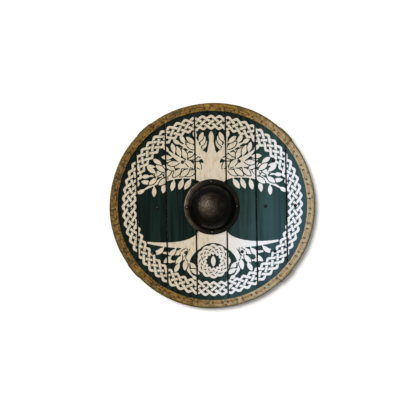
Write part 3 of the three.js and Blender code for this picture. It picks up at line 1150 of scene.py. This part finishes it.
@dataclass
class Boards:
    """Seven planks edge to edge, the middle one in two, with their front painted."""

    fixings: Fixings
    painting: TreePainting = TreePainting()
    grid: float = 2.0
    cup: float = 0.25
    # How far in and how far down each row of a worn long edge lies
    worn_edge: tuple[Point, ...] = ((0.0, 1.2), (0.5, 0.4), (1.4, 0.0))
    overrun: float = 1.5
    hand_hole: float = 134.0
    round_sides: int = 160
    nail_hole: float = 4.6
    nail_shade: float = 4.6
    left_half: tuple[str, ...] = ("far_left", "left", "mid_left", "middle_upper")
    right_half: tuple[str, ...] = ("middle_lower", "mid_right", "right", "far_right")

    def __post_init__(self) -> None:
        """Read the levels, and where the nails are."""
        board = box_of(MIDDLE_BOARD)
        self.front = board.high.z
        self.cut_low, self.cut_high = board.low.z - CUT_PAST, board.high.z + CUT_PAST
        self.nails = [box_of(nail).middle for nail in NAILS]

    def disc(self) -> Mesh:
        """Make the disc that the strips are cut to, with its hand-sawn edge.

        Returns:
            The cutting mesh.
        """
        tool = bmesh.new()
        radius = -box_of("board_far_left").low.x
        add_rod(tool, 2 * radius, self.cut_low, self.cut_high, Vector(), self.round_sides)
        for vert in tool.verts:
            stretch = 1 + outline_shift(math.atan2(vert.co.y, vert.co.x)) / radius
            vert.co.xy *= stretch
        return tool

    def holes(self) -> Mesh:
        """Make the rods that bore the hand hole and the lace, nail and rivet holes.

        Returns:
            The cutting mesh.
        """
        span = (self.cut_low, self.cut_high)
        tool = self.fixings.lace_holes(*span)
        add_rod(tool, self.hand_hole, *span, box_of("boss").middle, self.round_sides)
        for nail in self.nails:
            add_rod(tool, self.nail_hole, *span, nail, 10)
        for rivet in rivet_places():
            add_rod(tool, RIVET_HOLE, *span, rivet, 12)
        return tool

    def strip(self, box: Box) -> Mesh:
        """Make a plank's closed strip, with a dense front whose long edges are worn.

        Args:
            box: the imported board's box.

        Returns:
            The strip, longer than the board.
        """
        low = Vector((box.low.x, box.low.y - self.overrun, box.low.z))
        size = box.size + Vector((0, 2 * self.overrun, 0))
        columns, rows = round(size.x / self.grid), round(size.y / self.grid)
        bm = bmesh.new()
        bmesh.ops.create_grid(bm, x_segments=columns, y_segments=rows, size=0.5)
        for vert in bm.verts:
            column = round((vert.co.x + 0.5) * columns)
            from_edge = min(column, columns - column)
            across, drop = (vert.co.x + 0.5) * size.x, 0.0
            if from_edge < len(self.worn_edge):
                inset, drop = self.worn_edge[from_edge]
                across = inset if column < columns / 2 else size.x - inset
            sag = self.cup * (2 * across / size.x - 1) ** 2
            vert.co = low + Vector((across, (vert.co.y + 0.5) * size.y, size.z - drop - sag))
        rim = [edge for edge in bm.edges if edge.is_boundary]
        walls = bmesh.ops.extrude_edge_only(bm, edges=rim)["geom"]
        for vert in (item for item in walls if isinstance(item, bmesh.types.BMVert)):
            vert.co.z = low.z
        bmesh.ops.contextual_create(bm, geom=[e for e in bm.edges if e.is_boundary])
        bmesh.ops.recalc_face_normals(bm, faces=bm.faces[:])
        return bm

    def mark(self, box: Box, places: np.ndarray) -> dict[str, np.ndarray]:
        """Mark a plank's vertices for its finish.

        Args:
            box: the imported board's box.
            places: the vertices' places, a row each.

        Returns:
            Their distances to the painted edge, and to the nearest long edge or nail.
        """
        x, y = places[:, 0], places[:, 1]
        # The edge mark sets the painted shade along the seams and the painted shadow round each nail head
        edge = np.minimum(x - box.low.x, box.high.x - x)
        for nail in self.nails:
            edge = np.minimum(edge, np.hypot(x - nail.x, y - nail.y) - self.nail_shade)
        return {"paint": self.painting.distances(x, y), "edge": edge}

    def build(self) -> None:
        """Make all the boards."""
        finish = PaintedPine(front=self.front).material()
        disc, holes = self.disc(), self.holes()
        for place in self.left_half + self.right_half:
            node = f"board_{place}"
            box = box_of(node)
            board = boolean(boolean(self.strip(box), disc, Cut.KEEP), holes, Cut.AWAY)
            finish_piece(board, f"plank_{place}", node, finish, partial(self.mark, box))
        disc.free()
        holes.free()


@dataclass
class LeatherRim:
    """Four channels of thick leather round the edge, each lapping over the next."""

    fixings: Fixings
    leather: float = 2.5
    band: float = 31.0
    front_round: float = 6.5
    back_round: float = 3.5
    edge_bevel: float = 0.8
    step: float = math.radians(0.36)
    lap_rise: float = 2.8
    lap_turn: float = math.radians(1.1)
    climb_turn: float = math.radians(2.2)
    taper: float = 1.3
    lap_stitches: tuple[int, ...] = (5, 15, 25, 36)
    bore_past: float = 8.0
    skin: float = 0.6
    # How far in from an edge the leather is free to lift over a lap, to stray and to wear
    lift_from: float = 14.0
    inner_fade: float = 9.0
    outer_fade: float = 3.0
    edge_waves: Waves = ((1.3, 9.0, 1.5), (0.7, 40.0, 5.1))
    broad_waves: tuple[Point, ...] = ((0.45, 23.0),)
    fine_waves: tuple[Point, ...] = ((0.2, 7.0),)
    outer_waves: tuple[Point, ...] = ((0.5, 15.0),)
    # Depth and reach of the dimple at a hole and of the furrow under a stitch, and of the heave beside it
    dimple: Point = (1.1, 3.0)
    furrow: Point = (0.55, 2.9)
    heave: Point = (0.35, 3.0)
    heave_away: float = 6.0

    def __post_init__(self) -> None:
        """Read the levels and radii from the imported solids."""
        board = box_of(MIDDLE_BOARD)
        self.board_front, self.board_back = board.high.z, board.low.z
        self.board_radius = -box_of("board_far_left").low.x
        self.outer = self.board_radius + CLEARANCE + self.leather
        self.inner = self.outer - self.band
        self.front = self.board_front + CLEARANCE + self.leather
        self.back = self.board_back - CLEARANCE - self.leather
        self.level = board.middle.z

    def profile(self) -> list[Point]:
        """Give the channel's section, round its leather.

        Returns:
            Its points as radius and height.
        """
        inner, outer, front, back = self.inner, self.outer, self.front, self.back
        bevel, a, b = self.edge_bevel, self.front_round, self.back_round
        wall = self.board_radius + CLEARANCE
        low, high = self.board_back - CLEARANCE, self.board_front + CLEARANCE

        def corner(x: float, z: float, radius: float, first: float, parts: int) -> list:
            """Give a quarter's points, from an angle in degrees clockwise, as stops of one part."""
            angles = (math.radians(first - 90 * i / parts) for i in range(parts))
            return [((x, z) + radius * unit(angle), 1) for angle in angles]

        # Each stop is a point and the parts of the side from there to the next stop
        stops = [((inner, front - bevel), 1), ((inner + bevel, front), 13)]
        stops += corner(outer - a, front - a, a, 90, 6)
        stops += [((outer, front - a), 3)]
        stops += corner(outer - b, back + b, b, 0, 4)
        stops += [((outer - b, back), 9), ((inner + bevel, back), 1), ((inner, back + bevel), 1)]
        stops += [((inner, low), 4), ((wall, low), 2), ((wall, high), 4), ((inner, high), 1)]
        points = []
        for (start, parts), (end, _) in zip(stops, stops[1:] + stops[:1]):
            points += np.linspace(start, end, parts, endpoint=False).tolist()
        return points

    def shaped(self, place: Vector, lap_from: float, dent: float) -> Vector:
        """Move a point of the plain channel to its place in the worked leather.

        Args:
            place: the point in the plain channel.
            lap_from: the angle at which the section climbs over its neighbour.
            dent: how deep the pulled lace sinks its front there.

        Returns:
            The moved point.
        """
        radius, angle, height = math.hypot(place.x, place.y), math.atan2(place.y, place.x), place.z
        turned, pitch = turn_past(lap_from, angle), self.fixings.pitch
        climb = self.lap_rise * smooth_between(-self.climb_turn, 0.0, turned)
        thinned = self.taper * smooth_between(pitch - self.climb_turn, pitch, turned)
        side = max(-1.0, min(1.0, (height - self.level) / (self.front - self.level)))
        front_skin = smooth_between(self.board_front + self.skin, self.front, height)
        back_skin = 1 - smooth_between(self.back, self.board_back - self.skin, height)
        outer_skin = smooth_between(self.outer - self.outer_fade, self.outer, radius)
        inner_edge = 1 - smooth_between(self.inner, self.inner + self.inner_fade, radius)
        flat = Vector((place.x, place.y, 0))
        waves = bumps(flat, self.broad_waves) + bumps(place, self.fine_waves)
        out = climb * smooth_between(self.inner + self.lift_from, self.board_radius - 2, radius)
        out += outline_shift(angle) * smooth_between(self.inner, self.outer - 12, radius)
        out += inner_edge * ripples(angle, self.edge_waves)
        out += outer_skin * (bumps(place, self.outer_waves) - thinned)
        height += climb * side + front_skin * (waves - dent) - thinned * (front_skin - back_skin)
        return Vector((*((radius + out) * unit(angle)), height))

    def dents(self, places: np.ndarray) -> np.ndarray:
        """Give how deep the pulled lace sinks the leather.

        Args:
            places: the places, a row each.

        Returns:
            The depths in millimetres.
        """
        away, first, last = self.fixings.from_stitch(places)
        shapes = ((first, self.dimple), (last, self.dimple), (away, self.furrow))
        depth = sum(depth * fade(distance, reach) for distance, (depth, reach) in shapes)
        return depth - self.heave[0] * fade(away - self.heave_away, self.heave[1])

    def mark(self, lap_from: float, places: np.ndarray) -> dict[str, np.ndarray]:
        """Mark a section's vertices for its finish.

        Args:
            lap_from: the angle at which the section climbs over its neighbour.
            places: the vertices' places, a row each.

        Returns:
            How far they are on the lap, and the painted shade at stitches, holes, cut edges and lap ends.
        """
        turned = turn_past(lap_from, np.arctan2(places[:, 1], places[:, 0]))
        away, first, last = self.fixings.from_stitch(places)
        from_cut = np.hypot(places[:, 0], places[:, 1]) - self.inner
        # Painted shade: under each stitch, in each hole, along the inner cut edge and past each lap's end
        under_thong = 0.7 * fade(away, 3.2)
        at_hole = 1.5 * fade(np.minimum(first, last), 4.1)
        at_cut = 0.8 * (1 - np.clip(from_cut / 2.2, 0, 1))
        at_lap = 0.9 * fade((turned + self.lap_turn / 2) * self.inner, 2.0)
        groove = np.maximum.reduce((under_thong, at_hole, at_cut, at_lap))
        lap = np.clip(1 + turned / self.lap_turn, 0, 1)
        return {"lap": lap, "groove": np.minimum(groove, 1.0)}

    def build(self) -> None:
        """Make the four sections."""
        finish = RawLeather(outer=self.outer).material()
        pitch = self.fixings.pitch
        laps = [(k - 0.5) * pitch for k in self.lap_stitches]
        holes = self.fixings.lace_holes(self.back - self.bore_past, self.front + self.bore_past)
        for i, side in enumerate(SIDES):
            start = laps[i - 1] - (FULL_TURN if i == 0 else 0) + CLEARANCE / self.inner
            turn = laps[i] + pitch - start
            bm = lathe(self.profile(), Vector(), round(turn / self.step), start, turn)
            dents = self.dents(np.array([vert.co for vert in bm.verts]))
            for vert, dent in zip(bm.verts, dents):
                vert.co = self.shaped(vert.co, laps[i], dent)
            bm = boolean(bm, holes, Cut.AWAY)
            marks = partial(self.mark, laps[i])
            finish_piece(bm, f"leather_{side}", f"rim_{side}", finish, marks)
        holes.free()


@dataclass
class RimLace:
    """One thong, run over and under through all the holes, with its ends met."""

    fixings: Fixings
    rim: LeatherRim
    width: float = 3.5
    thickness: float = 1.9
    sides: int = 10
    crown_rise: float = 0.5
    bend: float = 1.6
    sunk: float = 0.8
    hole_depth: float = 2.2
    # How far along the bend, as a share, and how far under the run of the thong each of its points is
    bend_points: tuple[Point, ...] = ((0.0, 1.3), (0.35, 0.35), (1.0, 0.0))
    seat: float = 0.45

    def lift(self, stitch: int) -> float:
        """Give how far the lap under a stitch lifts it."""
        return self.rim.lap_rise if stitch % self.fixings.stitches in self.rim.lap_stitches else 0.0

    def span(self, first: Vector, last: Vector, level: float, side: int) -> list[Vector]:
        """Lay the thong from hole to hole on one face.

        Args:
            first: the hole it comes out of.
            last: the hole it goes into.
            level: the leather's surface.
            side: 1 for the front, -1 for the back.

        Returns:
            The points of its middle line, from inside one hole to inside the next.
        """
        along, reach = (last - first).normalized(), (last - first).length
        rest, crown = level + side * self.thickness * self.seat, side * self.crown_rise
        rise = [(0.0, level - side * self.hole_depth)]
        rise += [(self.bend * share, rest - side * under) for share, under in self.bend_points]
        top = [(reach * share, rest + crown * math.sin(math.pi * share)) for share in (0.3, 0.5, 0.7)]
        fall = [(reach - far, height) for far, height in reversed(rise)]
        return [Vector((*(first + along * far).xy, height)) for far, height in rise + top + fall]

    def route(self) -> list[Vector]:
        """Give the thong's whole closed middle line.

        Returns:
            Its points.
        """
        points = []
        for k in range(self.fixings.stitches):
            first, last, following = (self.fixings.hole(2 * k + i) for i in (0, 1, 2))
            points += self.span(first, last, self.rim.front - self.sunk + self.lift(k), 1)
            lift = max(self.lift(k), self.lift(k + 1))
            points += self.span(last, following, self.rim.back - lift, -1)
        return points

    def frames(self) -> list[Matrix]:
        """Give the thong's cross-section placed at each point of its route.

        Returns:
            A matrix for each point, with the section's width away from the shield's middle.
        """
        route = self.route()
        frames = []
        for i, point in enumerate(route):
            ahead = route[(i + 1) % len(route)] - route[i - 1]
            outward = Vector((point.x, point.y, 0)).normalized()
            tangent = (ahead - outward * ahead.dot(outward)).normalized()
            frame = Matrix((outward, tangent.cross(outward), tangent)).transposed().to_4x4()
            frame.translation = point
            frames.append(frame)
        return frames

    def build(self) -> None:
        """Make the thong."""
        bm = bmesh.new()
        bmesh.ops.create_circle(bm, segments=self.sides, radius=0.5)
        bmesh.ops.scale(bm, vec=(self.width, self.thickness, 1), verts=bm.verts[:])
        frames = self.frames()
        bmesh.ops.transform(bm, matrix=frames[0], verts=bm.verts[:])
        first_ring = ring = bm.edges[:]
        for before, after in zip(frames, frames[1:]):
            made = bmesh.ops.extrude_edge_only(bm, edges=ring)["geom"]
            ring = [item for item in made if isinstance(item, bmesh.types.BMEdge) and item.is_boundary]
            moved = [item for item in made if isinstance(item, bmesh.types.BMVert)]
            bmesh.ops.transform(bm, matrix=after @ before.inverted(), verts=moved)
        bmesh.ops.bridge_loops(bm, edges=first_ring + ring)
        bmesh.ops.recalc_face_normals(bm, faces=bm.faces[:])
        marks = partial(mark_crown, self.rim.front - 0.2, 1.2, 1)
        finish_piece(bm, "thong", "rim_lace", WaxedThong().material(), marks, crease=50)


@dataclass
class Boss:
    """A spun iron dome on a flat flange, over the hand hole."""

    flange: float = 20.0
    foot_round: float = 5.0
    squareness: float = 2.35
    dent: float = 0.35
    dent_waves: tuple[Point, ...] = ((1.0, 13.0), (0.5, 6.0))
    wall_clear: float = 0.5
    bore_top: float = 12.0
    steps: int = 144
    grooves: tuple[float, ...] = (27.0, 43.0, 64.0)
    groove_depth: float = 0.55
    groove_width: float = 2.6
    # The flange's edge and top: how far in from its edge, and how far under its top
    flange_edge: tuple[Point, ...] = ((0, 2), (0, 1), (0.5, 0.3), (1.3, 0), (5, 0), (10, 0))

    def dome(self, radius: float, height: float, first: float, parts: int) -> list[Point]:
        """Give a dome's section, with a steeper wall and flatter crown than a round dome's.

        Args:
            radius: the dome's radius.
            height: its height.
            first: the angle off its top at which the points start, in degrees.
            parts: how many points.

        Returns:
            Radius and height above the foot, from near the top down to the foot.
        """
        swell = 2 / self.squareness
        tilts = np.linspace(math.radians(first), math.pi / 2, parts)
        return [(radius * math.sin(t) ** swell, height * math.cos(t) ** swell) for t in tilts]

    def profile(self, box: Box) -> list[Point]:
        """Give the boss's section.

        Args:
            box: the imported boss's box.

        Returns:
            Radius and height, from the axis inside to the axis outside.
        """
        outer, foot, height = box.size.x / 2, box.low.z, box.size.z
        flange_top = foot + BOSS_IRON
        radius = outer - self.flange
        inside = self.dome(radius - BOSS_IRON, height - BOSS_IRON, 3, 22)
        turns = [math.radians(degrees) for degrees in range(0, 91, 18)]
        turn_in = [
            (radius + self.foot_round * (1 - math.sin(t)), flange_top + self.foot_round * (1 - math.cos(t)))
            for t in turns
        ]
        wall = []
        for r, h in self.dome(radius, height, 1, 90):
            groove = self.groove_depth * sum(fade(r - g, self.groove_width) for g in self.grooves)
            if foot + h - groove > flange_top + self.foot_round + self.wall_clear:
                wall.append((r, foot + h - groove))
        section = [(0.0, box.high.z - BOSS_IRON)]
        section += [(r, foot + h) for r, h in inside]
        section += [(outer - inset, flange_top - under) for inset, under in self.flange_edge]
        section += turn_in + wall[::-1]
        return section + [(0.0, box.high.z)]

    def build(self) -> None:
        """Make the dome and flange, lightly dented, with the rivet holes."""
        box = box_of("boss")
        bm = lathe(self.profile(box), box.middle, self.steps)
        for vert in bm.verts:
            height = vert.co.z - box.low.z
            if height <= 0.6 * BOSS_IRON:
                continue
            out = Vector((*(vert.co - box.middle).xy, height)).normalized()
            strength = self.dent * (0.3 + 0.7 * smooth_between(4, 20, height))
            vert.co += out * strength * bumps(vert.co, self.dent_waves)
        tool = bmesh.new()
        rivets = rivet_places()
        for rivet in rivets:
            add_rod(tool, RIVET_HOLE, box.low.z - CUT_PAST, box.low.z + self.bore_top, rivet, 16)
        bm = boolean(bm, tool, Cut.AWAY)
        tool.free()
        finish = OiledIron(box.middle, rivets).material()
        finish_piece(bm, "iron_boss", "boss", finish, crease=40)


@dataclass
class Fasteners:
    """Hand-forged nails through the boards, and rivets through the boss with washers behind."""

    nail_shank: float = 4.0
    nail_point: float = 1.2
    rivet_shank: float = 5.0
    tail_lip: float = 1.5
    tail_height: float = 1.5
    head_edge: float = 0.5
    head_inset: float = 0.4
    washer_bevel: float = 0.3
    steps: int = 24

    def __post_init__(self) -> None:
        """Make the finishes: the rivets get a brighter painted highlight than the nails, which stay near
        black.
        """
        self.finish = ForgedIron().material()
        self.rivet_finish = ForgedIron(name="hammered_iron_highlit", highlight_tint="#4a453d").material()

    def head(self, box: Box, foot: float) -> list[Point]:
        """Give a low domed head's section.

        Args:
            box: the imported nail's or rivet's box.
            foot: the height of its head's underside.

        Returns:
            Radius and height, from the underside's edge to the axis above.
        """
        radius, rise = box.size.y / 2, box.high.z - foot - self.head_edge
        turns = [math.radians(degrees) for degrees in range(90, 0, -15)]
        dome = [(radius * math.sin(t), foot + self.head_edge + rise * math.cos(t)) for t in turns]
        return [(radius - self.head_inset, foot), *dome, (0.0, box.high.z)]

    def hammer(self, bm: Mesh, foot: float, amount: float = 0.35) -> None:
        """Dent the head of a mesh, so that no two are alike.

        Args:
            bm: the mesh.
            foot: the height of the head's underside.
            amount: how deep the dents are.
        """
        for vert in bm.verts:
            if vert.co.z > foot + 0.2:
                vert.co.z += amount * noise.noise(vert.co / 3.5)
                vert.co.x += amount * noise.noise(vert.co / 4 + Vector((9, 0, 0)))
                vert.co.y += amount * noise.noise(vert.co / 4 + Vector((0, 9, 0)))

    def build_nail(self, node: str, foot: float) -> None:
        """Make one nail, with a square shank that tapers to its point.

        Args:
            node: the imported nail.
            foot: the height of its head's underside.
        """
        box = box_of(node)
        bm = lathe([(0.0, foot), *self.head(box, foot)], box.middle, self.steps)
        self.hammer(bm, foot)
        across_corners = self.nail_shank * math.sqrt(2)
        add_rod(bm, across_corners, box.low.z, foot, box.middle, 4, self.nail_point, math.pi / 4)
        marks = partial(mark_crown, foot, box.high.z - foot, 2)
        finish_piece(bm, f"forged_{node}", node, self.finish, marks)

    def build_rivet(self, side: str, foot: float) -> None:
        """Make one rivet, peened over at its tail.

        Args:
            side: which of the four it is.
            foot: the height of its head's underside.
        """
        node = f"boss_rivet_{side}"
        box = box_of(node)
        shank, low = self.rivet_shank / 2, box.low.z
        lip, tail_top = shank + self.tail_lip, low + self.tail_height
        tail = [(0.0, low), (lip * 0.7, low + 0.1), (lip, low + 0.7), (lip - 0.2, tail_top)]
        section = tail + [(shank, tail_top), (shank, foot)] + self.head(box, foot)
        bm = lathe(section, box.middle, self.steps)
        self.hammer(bm, foot)
        marks = partial(mark_crown, foot, box.high.z - foot, 2)
        finish_piece(bm, f"iron_rivet_{side}", node, self.rivet_finish, marks)

    def build_washer(self, side: str) -> None:
        """Make one rivet's washer.

        Args:
            side: which of the four it is.
        """
        node = f"rivet_washer_{side}"
        box = box_of(node)
        inner, outer, low, high = RIVET_HOLE / 2, box.size.y / 2, box.low.z, box.high.z
        ring = [(inner, low), (outer - self.washer_bevel, low), (outer, low + self.washer_bevel)]
        bm = lathe(ring + [(outer, high), (inner, high)], box.middle, 2 * self.steps)
        marks = partial(mark_crown, low - 1, 8.0, 2)
        finish_piece(bm, f"iron_washer_{side}", node, self.rivet_finish, marks)

    def build(self) -> None:
        """Make every nail, rivet and washer."""
        for node in NAILS:
            self.build_nail(node, box_of(MIDDLE_BOARD).high.z + CLEARANCE)
        for side in SIDES:
            self.build_rivet(side, box_of("boss").low.z + BOSS_IRON + CLEARANCE)
            self.build_washer(side)


@dataclass
class BackBars:
    """Two battens and a grip bar behind the boards, on which the shield lies."""

    sides: int = 48
    squareness: float = 9.0
    grip_squareness: float = 2.8
    grip_width: float = 30.0
    grip_length: float = 104.0
    shoulder: float = 26.0
    end_round: float = 12.0
    grain_step: float = 5.0
    pocket: float = 14.2
    pocket_depth: float = 3.6
    wobble: float = 0.3

    def bar(self, box: Box, waist: bool) -> Mesh:
        """Make a bar along X with softened edges, and a rounded waist to hold it by.

        Args:
            box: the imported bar's box.
            waist: whether it is drawn in at its middle.

        Returns:
            The closed bar.
        """
        size = box.size
        bm = bmesh.new()
        add_rod(bm, 2.0, -size.x / 2, size.x / 2, Vector(), self.sides)
        bmesh.ops.rotate(bm, verts=bm.verts[:], matrix=Matrix.Rotation(math.pi / 2, 3, "Y"))
        long_edges = [e for e in bm.edges if abs(e.verts[0].co.x - e.verts[1].co.x) > size.x / 2]
        cuts = round(size.x / self.grain_step)
        bmesh.ops.subdivide_edges(bm, edges=long_edges, cuts=cuts, use_grid_fill=True)
        grip_end = self.grip_length / 2
        for vert in bm.verts:
            far = abs(vert.co.x)
            held = (1 - smooth_between(grip_end, grip_end + self.shoulder, far)) * waist
            half_width = size.y / 2 + (self.grip_width / 2 - size.y / 2) * held
            into_end = max(0.0, far - (size.x / 2 - self.end_round)) / self.end_round
            half_width -= self.end_round * (1 - math.sqrt(max(0.0, 1 - into_end**2)))
            power = 2 / (self.squareness + (self.grip_squareness - self.squareness) * held)
            cos, sin = vert.co.yz.normalized()
            wobble = self.wobble * noise.noise(Vector((vert.co.x / 60, cos * 2, box.middle.y)))
            y = half_width * math.copysign(abs(cos) ** power, cos)
            z = size.z / 2 * math.copysign(abs(sin) ** power, sin)
            vert.co = box.middle + Vector((vert.co.x, y + wobble, z))
        bmesh.ops.recalc_face_normals(bm, faces=bm.faces[:])
        return bm

    def build(self) -> None:
        """Make the three bars. The grip bar has a pocket for each rivet's washer."""
        finish = OiledPine().material()
        for node in ("batten_upper", "batten_lower"):
            finish_piece(self.bar(box_of(node), False), f"pine_{node}", node, finish)
        box = box_of("grip_bar")
        tool = bmesh.new()
        for rivet in rivet_places(("left", "right")):
            add_rod(tool, self.pocket, box.low.z - CUT_PAST, box.low.z + self.pocket_depth, rivet, 32)
            add_rod(tool, RIVET_HOLE, box.low.z + 1, box.high.z + CUT_PAST, rivet, 16)
        bm = boolean(self.bar(box, True), tool, Cut.AWAY)
        tool.free()
        finish_piece(bm, "pine_grip_bar", "grip_bar", finish)


@dataclass(frozen=True)
class Studio:
    """A white floor, soft lights and a camera straight above."""

    image_pixels: int = 420
    mm_per_pixel: float = 3.641
    aim: Point = (-9.1, -16.4)
    roll: float = math.radians(-1.0)
    camera_height_m: float = 3.4
    floor_size_m: float = 40.0
    paper: str = "#f6f6f6"
    sky_strength: float = 0.4

    def camera(self) -> None:
        """Set the camera over the shield, so that the picture spans the photograph's width."""
        data = bpy.data.cameras.new("above")
        span = self.image_pixels * self.mm_per_pixel * MM
        front = box_of(MIDDLE_BOARD).high.z * MM
        data.sensor_width = 36.0
        data.lens = data.sensor_width * (self.camera_height_m - front) / span
        camera = link_object("above", data)
        camera.location = (self.aim[0] * MM, self.aim[1] * MM, self.camera_height_m)
        camera.rotation_euler = (0, 0, self.roll)
        bpy.context.scene.camera = camera

    def floor(self) -> None:
        """Lay the floor."""
        bm = bmesh.new()
        bmesh.ops.create_grid(bm, x_segments=1, y_segments=1, size=self.floor_size_m / 2)
        mesh = bpy.data.meshes.new("floor")
        bm.to_mesh(mesh)
        bm.free()
        paper = bpy.data.materials.new("white_paper")
        paper.use_nodes = True
        shader = paper.node_tree.nodes["Principled BSDF"]
        shader.inputs["Base Color"].default_value = colour(self.paper)
        shader.inputs["Roughness"].default_value = 0.9
        shader.inputs["Specular IOR Level"].default_value = 0.1
        mesh.materials.append(paper)
        link_object("floor", mesh)

    def light(
        self, name: str, azimuth: float, elevation: float, spread: float, power: float, tint: str
    ) -> None:
        """Light the shield evenly from far away.

        Args:
            name: the light's name.
            azimuth: where it stands, in degrees round from +X.
            elevation: how high it stands, in degrees.
            spread: how wide it looks from the shield, in degrees, which softens its shadows.
            power: its power on a surface that faces it, in watts per square metre.
            tint: its colour's hex value.
        """
        data = bpy.data.lights.new(name, "SUN")
        data.angle = math.radians(spread)
        data.energy = power
        data.color = colour(tint)[:3]
        lamp = link_object(name, data)
        lamp.rotation_euler = (0, math.radians(90 - elevation), math.radians(azimuth))
        lamp.location = lamp.rotation_euler.to_matrix() @ Vector((0, 0, 3))

    def build(self) -> None:
        """Set the scene."""
        scene = bpy.context.scene
        scene.view_settings.view_transform = "Standard"
        self.floor()
        self.camera()
        self.light("window", azimuth=142, elevation=55, spread=32, power=3.45, tint="#fffaf4")
        self.light("wall", azimuth=15, elevation=30, spread=20, power=0.2, tint="#e6eeff")
        scene.world = bpy.data.worlds.new("room")
        scene.world.use_nodes = True
        sky = scene.world.node_tree.nodes["Background"]
        sky.inputs["Color"].default_value = colour("#ffffff")
        sky.inputs["Strength"].default_value = self.sky_strength


def main() -> None:
    """Build the shield's pieces and the studio round them."""
    logging.basicConfig(level=logging.INFO, format="%(name)s: %(message)s")
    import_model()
    fixings = Fixings()
    rim = LeatherRim(fixings)
    Boards(fixings).build()
    rim.build()
    RimLace(fixings, rim).build()
    Boss().build()
    Fasteners().build()
    BackBars().build()
    Studio().build()


if __name__ == "__main__":
    main()
